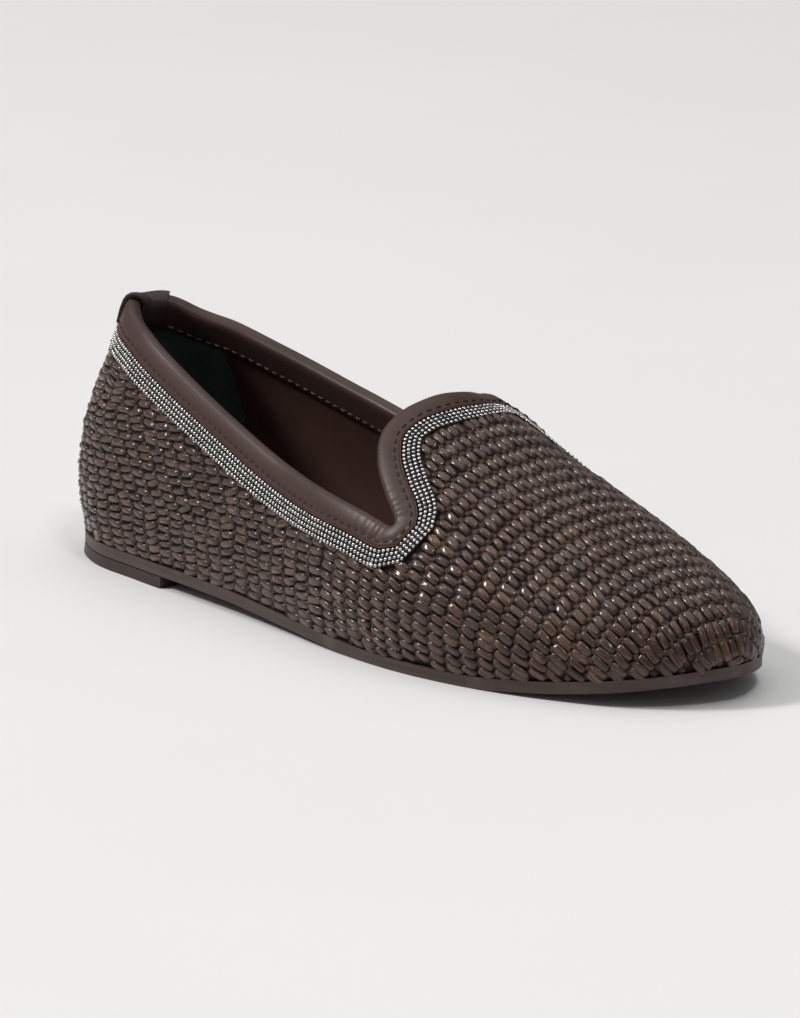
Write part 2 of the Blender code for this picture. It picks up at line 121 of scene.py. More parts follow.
# Where the tongue's edge stands off the last: side, share of the way to the heel, spread, height.
FLARES = ((1, 0.10, 0.045, 3.7), (1, 0.03, 0.025, -1.5), (-1, 0.045, 0.03, 0.9))
FLARE_REACH = 7.5

# Way down the upper: share along the collar, share along the sole's edge from toe to heel.
FAN = ((0.0, 0.0), (0.34, 0.42), (1.0, 1.0))

# Soft creases of the vamp: station and sideways place of both ends, width, depth (a ridge below 0).
CREASES = (
    (163.0, -30.0, 172.0, 2.0, 5.0, 0.50),
    (170.0, 6.0, 167.0, 32.0, 5.0, 0.45),
    (181.0, -27.0, 186.0, -2.0, 5.0, -0.35),
    (196.0, -22.0, 202.0, 8.0, 6.0, 0.30),
)


class Side(Enum):
    """Side of the shoe, as the sign of its sideways direction."""

    OUTER = -1
    INNER = 1


class Strand(Enum):
    """Which way a strand of the weave lies."""

    LENGTHWISE = "lengthwise"
    CROSS = "cross"


def curve_of(rows: Sequence[Sequence[float]], column: int = 1) -> Callable[[Array], Array]:
    """Makes a smooth function from a table.

    Args:
        rows: Table whose first column rises.
        column: Column that holds the values.

    Returns:
        Function through the rows that keeps rises and falls of the table.
    """
    table = np.array(rows, float)
    at, value = table[:, 0], table[:, column]
    step = np.diff(at)
    slope = np.diff(value) / step
    both = slope[:-1] + slope[1:]
    product = slope[:-1] * slope[1:]
    inner = np.where(product > 0, 2 * product / np.where(both == 0, 1, both), 0)
    tangent = np.concatenate([slope[:1], inner, slope[-1:]])

    def value_at(x: Array) -> Array:
        """Value of the curve at x, held at the ends."""
        x = np.clip(x, at[0], at[-1])
        i = np.clip(np.searchsorted(at, x, side="right") - 1, 0, len(at) - 2)
        t = (x - at[i]) / step[i]
        rise = t * t * (3 - 2 * t) * (value[i + 1] - value[i])
        bend = step[i] * t * (1 - t) * ((1 - t) * tangent[i] - t * tangent[i + 1])
        return value[i] + rise + bend

    return value_at


def closed_curve(points: Array, steps: int) -> Array:
    """Runs a closed centripetal curve through points.

    Args:
        points: Corner points in order.
        steps: Steps between each two of them.

    Returns:
        Points of the closed curve, the first not repeated.
    """
    points = np.asarray(points, float)
    count = len(points)
    out = []
    for i in range(count):
        p = [points[(i + j - 1) % count] for j in range(4)]
        t = np.cumsum([0.0] + [np.linalg.norm(p[j + 1] - p[j]) ** 0.5 for j in range(3)])
        u = np.linspace(t[1], t[2], steps, endpoint=False)[:, None]
        a = [((t[j + 1] - u) * p[j] + (u - t[j]) * p[j + 1]) / (t[j + 1] - t[j]) for j in range(3)]
        b = [((t[j + 2] - u) * a[j] + (u - t[j]) * a[j + 1]) / (t[j + 2] - t[j]) for j in range(2)]
        out.append(((t[2] - u) * b[0] + (u - t[1]) * b[1]) / (t[2] - t[1]))
    return np.concatenate(out)


def lengths(points: Array) -> Array:
    """Running length along an open row of points."""
    return np.concatenate([[0.0], np.cumsum(np.linalg.norm(np.diff(points, axis=0), axis=1))])


def read(rows: Array, run: Array, spot: Array) -> Array:
    """Rows at given spots, where run tells the spot of each row."""
    return np.stack([np.interp(spot, run, column) for column in rows.T], -1)


def along(points: Array, distance: Array) -> Array:
    """Points at the given distances along an open row of points."""
    return read(points, lengths(points), distance)


def between(rows: Array, spot: Array) -> Array:
    """Rows at fractional numbers, part of the way from one row to the next.

    Args:
        rows: Rows of any shape.
        spot: Fractional numbers of rows.

    Returns:
        One mixed row for each number.
    """
    i = np.floor(spot).astype(int)
    t = np.reshape(spot - i, np.shape(spot) + (1,) * (rows.ndim - 1))
    return rows[i] * (1 - t) + rows[i + 1] * t


def pick(grid: Array, spot: Array) -> Array:
    """Point of each column of a grid at its own fractional row.

    Args:
        grid: Array of columns, rows and coordinates.
        spot: Fractional row for each column.

    Returns:
        One point for each column.
    """
    i = np.floor(spot).astype(int)
    t = (spot - i)[:, None]
    column = np.arange(len(grid))
    return grid[column, i] * (1 - t) + grid[column, i + 1] * t


def unit(vectors: Array) -> Array:
    """The vectors with length one."""
    return vectors / np.maximum(np.linalg.norm(vectors, axis=-1, keepdims=True), 1e-9)


def inset(loop: Array, distance: float) -> Array:
    """A closed plan moved inwards by a distance."""
    ahead = unit(np.roll(loop, -1, axis=0) - np.roll(loop, 1, axis=0))
    return loop + distance * np.stack([-ahead[:, 1], ahead[:, 0]], -1)


def soften(values: Array, times: int) -> Array:
    """Smooths values round a closed ring.

    Args:
        values: Values with the ring as their first axis.
        times: How often each is mixed with its neighbours.

    Returns:
        The smoothed values.
    """
    for _ in range(times):
        values = 0.25 * np.roll(values, 1, axis=0) + 0.5 * values + 0.25 * np.roll(values, -1, axis=0)
    return values


class Plan:
    """Outer and inner edge of a closed plan, each from the heel's back to the toe's tip."""

    def __init__(self, loop: Array) -> None:
        """Splits a closed plan at its back and its tip."""
        loop = np.roll(loop, -int(np.argmin(loop[:, 0])), axis=0)
        toe = int(np.argmax(loop[:, 0]))
        self.outer = loop[: toe + 1]
        self.inner = np.concatenate([loop[toe:], loop[:1]])[::-1]
        self.back = loop[0, 0]
        self.front = loop[toe, 0]

    def edges_at(self, x: Array) -> tuple[Array, ...]:
        """Sideways places of the outer and the inner edge at a station."""
        return tuple(np.interp(x, edge[:, 0], edge[:, 1]) for edge in (self.outer, self.inner))


@dataclass
class Last:
    """The form that the upper is pulled over: a rounded section at every station."""

    length: float = 250.0
    toe_tip: float = 6.0
    sole_thickness: float = 3.2
    upper_inset: float = 0.7
    ridge_offset: float = 9.0
    ridge_rise: float = 110.0
    ridge_turn: float = 190.0
    swell: float = 3.0
    swell_top: float = 0.8
    swell_heel: float = 10.0
    swell_toe: float = 60.0
    middle: tuple[float, float] = (36.0, 212.0)
    middle_rise: float = 6.0
    crease_foot: float = 4.0
    crease_fade: float = 8.0
    crease_ends: tuple[float, float] = (0.12, 0.88)
    slant: tuple[float, float, float] = (0.3, 0.2, 1.0)

    def __post_init__(self) -> None:
        """Works out the plan and the curves of the sections."""
        outer = [(x, -a) for x, a, b in PLAN]
        inner = [(x, b) for x, a, b in PLAN][::-1]
        corners = [(0.0, 0.0)] + outer + [(self.length, self.toe_tip)] + inner
        self.loop = closed_curve(corners, CURVE_STEPS)
        self.sole = Plan(self.loop)
        self.plan = Plan(inset(self.loop, self.upper_inset))
        self.crown = curve_of(SECTIONS, 1)
        self.roundness = curve_of(SECTIONS, 2)
        self.underside = curve_of(UNDERSIDE)
        self.heel_back = curve_of(HEEL_BACK)

    def feather(self, x: Array) -> Array:
        """Height of the sole's top, where the upper starts."""
        return self.underside(x) + self.sole_thickness

    def ridge(self, x: Array) -> Array:
        """Sideways place of the highest line of the foot."""
        rise = self.ridge_offset * np.clip((x - self.plan.back) / self.ridge_rise, 0, 1)
        toe = np.clip((x - self.ridge_turn) / (self.plan.front - self.ridge_turn), 0, 1) ** 2
        return rise + (self.plan.outer[-1, 1] - self.ridge_offset) * toe

    def level(self, p: Array) -> Array:
        """Tells inside from outside.

        Args:
            p: Points.

        Returns:
            Values below zero inside the last and above zero outside.
        """
        x, y, z = p[..., 0], p[..., 1], p[..., 2]
        back, front = self.plan.back, self.plan.front
        x = front - (front - x) * (front - back) / (front - self.heel_back(z))
        ridge, feather = self.ridge(x), self.feather(x)
        up = np.clip((z - feather) / np.maximum(self.crown(x) - feather, 0.001), 0, None)
        within = np.clip(x, back + 1e-4, front - 1e-4)
        swell = self.swell * np.sin(np.pi * np.clip(up / self.swell_top, 0, 1))
        swell = swell * np.clip((front - x) / self.swell_toe, 0, 1)
        swell = swell * np.clip((x - back) / self.swell_heel, 0, 1)
        outer, inner = self.plan.edges_at(within)
        side = np.where(y < ridge, ridge - outer, inner - ridge)
        power = self.roundness(x)
        value = (np.abs(y - ridge) / np.maximum(side + swell, 0.001)) ** power + up ** power - 1
        beyond = np.maximum(back - x, x - front)
        return np.where(beyond > 0, 1 + beyond, value)

    def centre(self, p: Array) -> Array:
        """Point inside the last from which a surface point is seen."""
        x = np.clip(p[..., 0], *self.middle)
        return np.stack([x, self.ridge(x), self.feather(x) + self.middle_rise], -1)

    def cast(self, centre: Array, ray: Array, far: float, steps: int) -> Array:
        """Points where rays from inside meet the surface of the last.

        Args:
            centre: Points inside the last.
            ray: Directions of the rays.
            far: How many times its ray a point lies out at most.
            steps: Times that the way is halved.

        Returns:
            Points of the surface.
        """
        low = np.zeros(np.broadcast_shapes(centre.shape, ray.shape)[:-1] + (1,))
        high = np.full_like(low, far)
        for _ in range(steps):
            middle = (low + high) / 2
            outside = self.level(centre + middle * ray)[..., None] > 0
            high = np.where(outside, middle, high)
            low = np.where(outside, low, middle)
        return centre + low * ray

    def skin(self, p: Array) -> Array:
        """Points moved straight out from the centre to the surface of the last."""
        centre = self.centre(p)
        return self.cast(centre, p - centre, far=6.0, steps=34)

    def normal(self, p: Array) -> Array:
        """Outward directions of the surface.

        Args:
            p: Points on the surface.

        Returns:
            One direction for each point.
        """
        out = unit(p - self.centre(p))
        side = unit(np.cross(out, np.array(self.slant)))
        other = np.cross(out, side)
        a = self.skin(p + side) - self.skin(p - side)
        b = self.skin(p + other) - self.skin(p - other)
        square = unit(np.cross(a, b))
        return square * np.sign(np.sum(square * out, -1, keepdims=True))

    def collar(self) -> Array:
        """Fold of the collar from the tongue round the outer side, heel and inner side."""

        def place(x: float, share: float, z: float, side: int) -> tuple[float, float, float]:
            """Point of the fold at a station on one side."""
            ridge = self.ridge(x)
            edge = self.plan.edges_at(x)[0 if side < 0 else 1]
            return (x, ridge + share * (edge - ridge), z)

        outer = [place(x, share, z, -1) for x, share, z in COLLAR]
        inner = [place(x, share, z, 1) for x, share, z in COLLAR[1:]][::-1]
        points = self.skin(np.array(outer + [COLLAR_BACK] + inner))
        return self.skin(closed_curve(points, CURVE_STEPS))

    def crease(self, p: Array) -> Array:
        """How far soft creases move surface points along their outward directions.

        Args:
            p: Points on the surface.

        Returns:
            One distance for each point.
        """
        move = np.zeros(p.shape[:-1])
        for x0, y0, x1, y1, width, depth in CREASES:
            start = np.array([x0, y0])
            leg = np.array([x1, y1]) - start
            t = np.clip(((p[..., :2] - start) @ leg) / (leg @ leg), 0, 1)
            off = np.linalg.norm(p[..., :2] - start - t[..., None] * leg, axis=-1)
            fade = np.sin(np.pi * np.interp(t, (0, 1), self.crease_ends))
            move -= depth * fade * np.exp(-((off / width) ** 2))
        above = p[..., 2] - self.feather(p[..., 0]) - self.crease_foot
        return move * np.clip(above / self.crease_fade, 0, 1)


def grid_normals(grid: Array, last: Last) -> Array:
    """Outward directions of a grid.

    Args:
        grid: Array of columns, closed round the collar, rows and coordinates.
        last: Form that the grid lies on.

    Returns:
        One direction for each point.
    """
    across = np.roll(grid, -1, axis=0) - np.roll(grid, 1, axis=0)
    square = unit(np.cross(across, np.gradient(grid, axis=1)))
    return square * np.sign(np.sum(square * (grid - last.centre(grid)), -1, keepdims=True))


@dataclass
class Pattern:
    """Lines that run from the collar's fold down the upper, and rings that follow the fold."""

    last: Last
    gap: float = 0.3
    reach: int = 18
    marched: int = 17
    count: int = 720
    fine: int = 90
    sweep: int = 40
    bend: float = 0.35
    edge_softening: int = 6
    sheet_softening: int = 3

    def __post_init__(self) -> None:
        """Marches the fold's points down the last by millimetres and flares the tongue's edge."""
        last = self.last
        fold = last.collar()
        fold = np.concatenate([fold, fold[:1]])
        fold = last.skin(along(fold, np.linspace(0, lengths(fold)[-1], self.count, endpoint=False)))
        ahead = unit(np.roll(fold, -1, axis=0) - np.roll(fold, 1, axis=0))
        step = np.cross(last.normal(fold), ahead)
        path = [fold]
        for _ in range(self.reach):
            path.append(last.skin(path[-1] + step))
            step = unit(path[-1] - path[-2])
        self.path = np.stack(path, 1)
        self.out = unit(soften(grid_normals(self.path, last), self.edge_softening))
        self.heel = int(np.argmin(fold[:, 0]))
        self.edges = (last.plan.outer[::-1], last.plan.inner[::-1])
        run = 0.0
        for row in (0, self.marched - 1):
            run = run + lengths(np.concatenate([self.path[:, row], self.path[:1, row]])) / 2
        self.run = run
        heel = run[self.heel]
        here = run[:-1]
        share = np.where(here <= heel, here / heel, (run[-1] - here) / (run[-1] - heel))
        self.width = curve_of(BINDING_WIDTH)(share)
        way = share * np.where(np.arange(self.count) > self.heel, 1, -1)
        stand = sum(rise * np.exp(-(((way - side * middle) / spread) ** 2))
                    for side, middle, spread, rise in FLARES)
        fade = np.exp(-((np.arange(self.reach + 1) / FLARE_REACH) ** 2))
        self.path = self.path + self.out * (stand[:, None] * fade)[..., None]

    def ring(self, distance: Array, height: Array) -> tuple[Array, Array]:
        """Ring of points that follows the fold.

        Args:
            distance: Distance down from the fold, one for all places or one for each.
            height: Height off the wall's outer face.

        Returns:
            Points and outward directions, one for each place round the collar.
        """
        each = (self.count,)
        spot = np.clip(np.broadcast_to(np.asarray(distance, float), each), 0, self.reach - 1e-6)
        out = unit(pick(self.out, spot))
        height = np.broadcast_to(np.asarray(height, float), each)[:, None]
        return pick(self.path, spot) + out * height, out

    def lines(self, columns: int) -> Array:
        """Fine lines from the fold to the sole's edge, evenly round the collar.

        Args:
            columns: How many lines.

        Returns:
            Array of columns, points and coordinates.
        """
        half = columns // 2
        pace = np.arange(half) / half
        heel, end = self.run[self.heel], self.run[-1]
        spot = np.concatenate([heel * pace, end - (end - heel) * (1 - pace)])
        place = np.interp(spot, self.run, np.arange(self.count + 1))
        marched = between(np.concatenate([self.path, self.path[:1]]), place)[:, : self.marched]
        foot = []
        for edge, share in zip(self.edges, (pace, 1 - pace)):
            x, y = along(edge, curve_of(FAN)(share) * lengths(edge)[-1]).T
            foot.append(np.stack([x, y, self.last.feather(x) + self.gap], -1))
        foot = np.concatenate(foot)
        start = marched[:, -1]
        reach = np.linalg.norm(foot - start, axis=-1)[:, None]
        bend = start + self.bend * reach * unit(marched[:, -1] - marched[:, -3])
        t = np.linspace(0, 1, self.sweep)[1:, None, None]
        sweep = self.last.skin((1 - t) ** 2 * start + 2 * t * (1 - t) * bend + t ** 2 * foot)
        sweep[-1] = foot
        return np.concatenate([marched, np.swapaxes(sweep, 0, 1)], 1)

    def sheet(self, lines: Array, rows: Array) -> tuple[Array, Array]:
        """Surface points at each line's distances from the fold.

        Args:
            lines: Fine lines.
            rows: Distances, one row of them for each line.

        Returns:
            Points and outward directions as arrays of columns and rows.
        """
        fine = [np.linspace(0, lengths(line)[-1], self.fine) for line in lines]
        base = np.stack([along(line, row) for line, row in zip(lines, fine)])
        normals = unit(soften(grid_normals(base, self.last), self.sheet_softening))
        points = [read(spot, run, row) for spot, run, row in zip(base, fine, rows)]
        squares = [read(square, run, row) for square, run, row in zip(normals, fine, rows)]
        return np.stack(points), unit(np.stack(squares))

    def down(self, p: Array) -> tuple[Array, Array]:
        """How far points lie below the fold.

        Args:
            p: Surface points.

        Returns:
            Distance down from the fold, up to the reach, and the binding's width there.
        """
        tree = KDTree(self.path.shape[0] * self.path.shape[1])
        for n, point in enumerate(self.path.reshape(-1, 3)):
            tree.insert(point, n)
        tree.balance()
        hit = np.array([tree.find(point)[1] for point in p], int)
        return hit % (self.reach + 1), self.width[hit // (self.reach + 1)]


def loft(grid: Array, closed: bool) -> tuple[Array, Faces]:
    """Closed solid from section rings.

    Args:
        grid: Array of columns, ring points and coordinates.
        closed: Whether the last column joins the first; an open loft gets caps of quads.

    Returns:
        Points and faces.
    """
    columns, ring = grid.shape[:2]
    faces: Faces = []
    for i in range(columns if closed else columns - 1):
        n = (i + 1) % columns
        for j in range(ring):
            k = (j + 1) % ring
            faces.append((i * ring + j, n * ring + j, n * ring + k, i * ring + k))
    if not closed:
        end = (columns - 1) * ring
        for j in range(ring // 2 - 1):
            cap = (j, j + 1, ring - 2 - j, ring - 1 - j)
            faces.append(cap)
            faces.append(tuple(end + v for v in reversed(cap)))
    return grid.reshape(-1, 3), faces


@dataclass
class Spots:
    """Places for one repeated shape: where it sits, which way it faces and runs, size and tone."""

    point: Array
    out: Array
    run: Array
    size: Array
    tone: Array

    def only(self, choice: Array) -> "Spots":
        """The chosen places alone."""
        return Spots(*(value[choice] for value in vars(self).values()))

    @staticmethod
    def joined(groups: Sequence["Spots"]) -> "Spots":
        """The places of all groups."""
        columns = zip(*(vars(group).values() for group in groups))
        return Spots(*(np.concatenate(column) for column in columns))


Value = Union[float, int, str, bool, Sequence[float], NodeSocket, ID]
Inputs = Optional[dict[Union[str, int], Value]]


class Graph:
    """Adds and links nodes in one node tree."""

    def __init__(self, tree: NodeTree) -> None:
        """Keeps the tree that nodes go into."""
        self.tree = tree

    @classmethod
    def group(cls, name: str, kind: str, inputs: dict[str, str], outputs: dict[str, str]) -> "Graph":
        """Makes a node group.

        Args:
            name: Name of the group.
            kind: Type of its tree.
            inputs: Kinds of its inputs by name.
            outputs: Kinds of its outputs by name.

        Returns:
            Graph of the new tree.
        """
        graph = cls(bpy.data.node_groups.new(name, kind))
        for way, sockets in (("INPUT", inputs), ("OUTPUT", outputs)):
            for socket, value in sockets.items():
                graph.tree.interface.new_socket(socket, in_out=way, socket_type="NodeSocket" + value)
        return graph

    def plug(self, socket: NodeSocket, value: Value) -> None:
        """Links another socket to an input, or sets the input to a value."""
        if isinstance(value, NodeSocket):
            self.tree.links.new(value, socket)
        else:
            socket.default_value = value

    def add(self, kind: str, inputs: Inputs = None, **settings: Value) -> Node:
        """Adds one node.

        Args:
            kind: Type of the node.
            inputs: Values or sockets for its inputs, by name or number.
            settings: Values for its properties.

        Returns:
            The new node.
        """
        node = self.tree.nodes.new(kind)
        for name, value in settings.items():
            setattr(node, name, value)
        for name, value in (inputs or {}).items():
            if isinstance(name, int):
                socket = node.inputs[name]
            else:
                socket = next(s for s in node.inputs if s.name == name and s.enabled)
            self.plug(socket, value)
        return node

    def value(self, kind: str, inputs: Inputs = None, **settings: Value) -> NodeSocket:
        """First output in use of a new node, added as in add."""
        return next(s for s in self.add(kind, inputs, **settings).outputs if s.enabled)

    def spot(self) -> NodeSocket:
        """Place on the object."""
        return self.add("ShaderNodeTexCoord").outputs["Object"]

    def tone(self) -> NodeSocket:
        """Tone that each copy of a repeated shape carries."""
        return self.add("ShaderNodeAttribute", attribute_name="tone").outputs["Fac"]

    def noise(self, spot: Value, scale: Value, detail: float = 2.0, rough: float = 0.5) -> NodeSocket:
        """Noise at a place."""
        inputs = {"Vector": spot, "Scale": scale, "Detail": detail, "Roughness": rough}
        return self.value("ShaderNodeTexNoise", inputs)

    def math(self, operation: str, a: Value, b: Value = 0.0) -> NodeSocket:
        """Result of one calculation with two values."""
        return self.value("ShaderNodeMath", {0: a, 1: b}, operation=operation)

    def ramp(self, value: Value, low: float, high: float, start: float = 0.0,
             end: float = 1.0) -> NodeSocket:
        """Value carried smoothly from one range to another."""
        inputs = {"Value": value, "From Min": low, "From Max": high, "To Min": start, "To Max": end}
        return self.value("ShaderNodeMapRange", inputs, interpolation_type="SMOOTHSTEP")

    def mix(self, share: Value, first: Value, second: Value) -> NodeSocket:
        """Colour between two colours."""
        a, b = ((*c, 1.0) if isinstance(c, tuple) else c for c in (first, second))
        return self.value("ShaderNodeMix", {"Factor": share, "A": a, "B": b}, data_type="RGBA")


def put(name: str, data: ID) -> Object:
    """Makes an object in the scene.

    Args:
        name: Name of the object.
        data: Mesh, lamp or camera that it shows.

    Returns:
        The object, linked to the scene.
    """
    made = bpy.data.objects.new(name, data)
    bpy.context.scene.collection.objects.link(made)
    return made


class Bench:
    """Makes meshes and objects in the row frame."""

    directions: tuple[str, str, str] = ("face_out", "run_along", "shape_size")
    choices: int = 60

    def __init__(self, last: Last) -> None:
        """Finds the row frame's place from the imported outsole."""
        low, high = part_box("outsole")
        least, most = last.loop.min(axis=0), last.loop.max(axis=0)
        sideways = (least[1] - low[1] / MM + most[1] - high[1] / MM) / 2
        self.shift = np.array([least[0] - low[0] / MM, sideways, 0.0])
        self.tree = self.placing_tree()

    def world(self, p: Array) -> Array:
        """Points in metres in the row frame."""
        return (np.asarray(p, float) - self.shift) * MM

    def mesh(self, name: str, points: Array, faces: Faces) -> Mesh:
        """Mesh with faces turned outwards.

        Args:
            name: Name of the mesh.
            points: Points in the unit that the mesh is to have.
            faces: Faces as rows of point numbers.

        Returns:
            The mesh, shaded smooth.
        """
        a = points[[f[0] for f in faces]]
        volume = 0.0
        for corner in (1, 2):
            b = points[[f[corner] for f in faces]]
            c = points[[f[(corner + 1) % len(f)] for f in faces]]
            volume += np.sum(a * np.cross(b, c))
        if volume < 0:
            faces = [tuple(reversed(f)) for f in faces]
        made = bpy.data.meshes.new(name)
        made.from_pydata(points.tolist(), [], faces)
        made.shade_smooth()
        return made

    def piece(self, name: str, points: Array, faces: Faces, material: Material,
              sharp: Optional[float] = None) -> Object:
        """Object of the shoe.

        Args:
            name: Name of the piece.
            points: Points in millimetres in the maker's frame.
            faces: Faces as rows of point numbers.
            material: Its finish.
            sharp: Angle in radians past which an edge stays sharp.

        Returns:
            The object, linked to the scene.
        """
        mesh = self.mesh(name, self.world(points), faces)
        if sharp is not None:
            mesh.set_sharp_from_angle(angle=sharp)
        mesh.materials.append(material)
        return put(name, mesh)

    def lofted(self, name: str, grid: Array, closed: bool, finish: "Finish", *nodes: str,
               sharp: Optional[float] = None) -> None:
        """Makes a piece from section rings and hands it over for the nodes it stands for."""
        made = self.piece(name, *loft(grid, closed), finish.make(), sharp)
        self.hand_over(made, finish.slot, *nodes)

    @classmethod
    def placing_tree(cls) -> NodeTree:
        """Geometry node tree that sets one shape on points, turned by their directions."""
        inputs = {"Geometry": "Geometry", "Shapes": "Collection", "Turn": "Float", "Seed": "Int",
                  "Material": "Material"}
        graph = Graph.group("set_shapes_on_points", "GeometryNodeTree", inputs, {"Geometry": "Geometry"})
        start = graph.add("NodeGroupInput").outputs
        turn, seed = start["Turn"], start["Seed"]
        points = graph.value("GeometryNodeMeshToPoints", {"Mesh": start["Geometry"]})
        shapes = graph.value("GeometryNodeCollectionInfo", {
            "Collection": start["Shapes"], "Separate Children": True, "Reset Children": True})
        number = graph.value("FunctionNodeRandomValue", {"Min": 0, "Max": cls.choices - 1, "Seed": seed},
                             data_type="INT")
        out, run, size = (graph.value("GeometryNodeInputNamedAttribute", {"Name": name},
                                      data_type="FLOAT_VECTOR") for name in cls.directions)
        axes = graph.value("FunctionNodeAxesToRotation", {0: out, 1: run},
                           primary_axis="Z", secondary_axis="X")
        least = graph.math("MULTIPLY", turn, -1.0)
        angle = graph.value("FunctionNodeRandomValue", {"Min": least, "Max": turn, "Seed": seed},
                            data_type="FLOAT")
        spin = graph.value("FunctionNodeAxisAngleToRotation", {"Axis": (0.0, 0.0, 1.0), "Angle": angle})
        both = graph.value("FunctionNodeRotateRotation", {0: axes, 1: spin}, rotation_space="LOCAL")
        placed = graph.value("GeometryNodeInstanceOnPoints", {
            "Points": points, "Instance": shapes, "Pick Instance": True, "Instance Index": number,
            "Rotation": both, "Scale": size})
        real = graph.value("GeometryNodeRealizeInstances", {"Geometry": placed})
        dressed = graph.value("GeometryNodeSetMaterial", {"Geometry": real, "Material": start["Material"]})
        graph.add("NodeGroupOutput", {"Geometry": dressed})
        return graph.tree

    @staticmethod
    def keep(made: Object, modifier: Modifier) -> Mesh:
        """Keeps what a modifier makes as a plain mesh, and removes the modifier.

        Args:
            made: Object with the modifier.
            modifier: Its only modifier.

        Returns:
            The object's new mesh, shaded smooth.
        """
        bpy.context.view_layer.update()
        graph = bpy.context.evaluated_depsgraph_get()
        mesh = bpy.data.meshes.new_from_object(made.evaluated_get(graph))
        made.modifiers.remove(modifier)
        made.data = mesh
        mesh.name = made.name
        mesh.shade_smooth()
        return mesh

    def repeat(self, name: str, spots: Spots, shapes: Sequence[Mesh], material: Material,
               turn: float, seed: int) -> Object:
        """Sets shapes on many places, picked at random, and joins the result in one mesh.

        Args:
            name: Name of the piece.
            spots: Places in millimetres in the maker's frame.
            shapes: Meshes in millimetres, with +Z outwards and +X along.
            material: Finish of every copy.
            turn: Largest random turn about the outward direction, in radians.
            seed: Seed of the random turn and choice.

        Returns:
            The joined object, linked to the scene.
        """
        mesh = bpy.data.meshes.new(name)
        mesh.from_pydata(self.world(spots.point).tolist(), [], [])
        for key, value in zip(self.directions, (spots.out, spots.run, spots.size * MM)):
            data = mesh.attributes.new(key, "FLOAT_VECTOR", "POINT").data
            data.foreach_set("vector", value.astype(np.float32).ravel())
        tone = mesh.attributes.new("tone", "FLOAT", "POINT").data
        tone.foreach_set("value", spots.tone.astype(np.float32))
        made = put(name, mesh)
        models = bpy.data.collections.new(name + "_shapes")
        bpy.context.scene.collection.children.link(models)
        for shape in shapes:
            models.objects.link(bpy.data.objects.new(shape.name, shape))
        modifier = made.modifiers.new("set_shapes", "NODES")
        modifier.node_group = self.tree
        settings = {"Shapes": models, "Turn": turn, "Seed": seed, "Material": material}
        for item in self.tree.interface.items_tree:
            if item.in_out == "INPUT" and item.name in settings:
                modifier[item.identifier] = settings[item.name]
        held = self.keep(made, modifier).attributes
        for key in self.directions:
            if key in held:
                held.remove(held[key])
        for model in list(models.objects):
            bpy.data.objects.remove(model)
        bpy.data.collections.remove(models)
        return made

    @staticmethod
    def hand_over(made: Object, slot: str, *nodes: str) -> None:
        """Lets a finished piece ride on the shoe.

        Args:
            made: The piece.
            slot: Its slot in the record; not used.
            nodes: Nodes of the solids that it stands for.
        """
        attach(made, BODY)
        if nodes:
            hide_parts(*nodes)
        LOG.info("%s: %d faces", made.name, len(made.data.polygons))


@dataclass(frozen=True)
class StrandShape:
    """Arched leaf of one visible stretch of strand, with a groove where two strips lie side by side.

    The crest is its height over the ground, and the sink how far its ends dive under it. The groove's
    place across runs from -1 to 1, and the twist lets it wander on the way along.
    """

    length: float
    width: float
    crest: float
    sink: float
    rows: int
    across: int
    groove: float = 0.0
    twist: float = 0.0
    taper: float = 0.52
    taper_power: float = 2.6
    arch_power: float = 4.6
    side_power: float = 2.2
    side_reach: float = 0.97
    flank: float = 0.35
    lean: float = 0.06
    groove_width: float = 0.26
    groove_depth: float = 0.30
    root: float = 0.5

    def back(self) -> Array:
        """Points of its back, as rows along and across."""
        steps = (np.linspace(-1, 1, count + 1) for count in (self.rows, self.across))
        a, b = np.meshgrid(*steps, indexing="ij")
        half = self.width / 2 * (1 - self.taper * np.abs(a) ** self.taper_power)
        arch = 1 - np.abs(a - self.lean * self.twist) ** self.arch_power
        side = np.sqrt(np.maximum(1 - (self.side_reach * np.abs(b)) ** self.side_power, 0))
        dent = np.exp(-(((b - self.groove - self.twist * a) / self.groove_width) ** 2)) * np.maximum(arch, 0)
        z = (self.crest + self.sink) * arch * (self.flank + (1 - self.flank) * side) - self.sink
        z = z - self.flank * (1 - side) - self.groove_depth * self.crest * dent
        return np.stack([a * self.length / 2, b * half, z], -1)

    def make(self, bench: Bench) -> Mesh:
        """Makes the mesh.

        Args:
            bench: Maker of meshes.

        Returns:
            Closed mesh in millimetres with a map of the strand.
        """
        top = self.back()
        columns = self.across + 1
        number = np.arange(top.size // 3).reshape(-1, columns)
        faces: Faces = [(k, k + columns, k + columns + 1, k + 1) for k in number[:-1, :-1].ravel().tolist()]
        rim = np.concatenate([number[0], number[1:, -1], number[-1, -2::-1], number[-2:0:-1, 0]]).tolist()
        faces += [(v, w, number.size) for v, w in zip(rim, rim[1:] + rim[:1])]
        points = np.concatenate([top.reshape(-1, 3), [[0.0, 0.0, -self.sink - self.root]]])
        mesh = bench.mesh("strand", points, faces)
        layer = mesh.uv_layers.new(name="strand")
        place = points[:, :2] / (self.length, self.width) + 0.5
        corner = np.zeros(len(mesh.loops), int)
        mesh.loops.foreach_get("vertex_index", corner)
        layer.data.foreach_set("uv", place[corner].astype(np.float32).ravel())
        return mesh


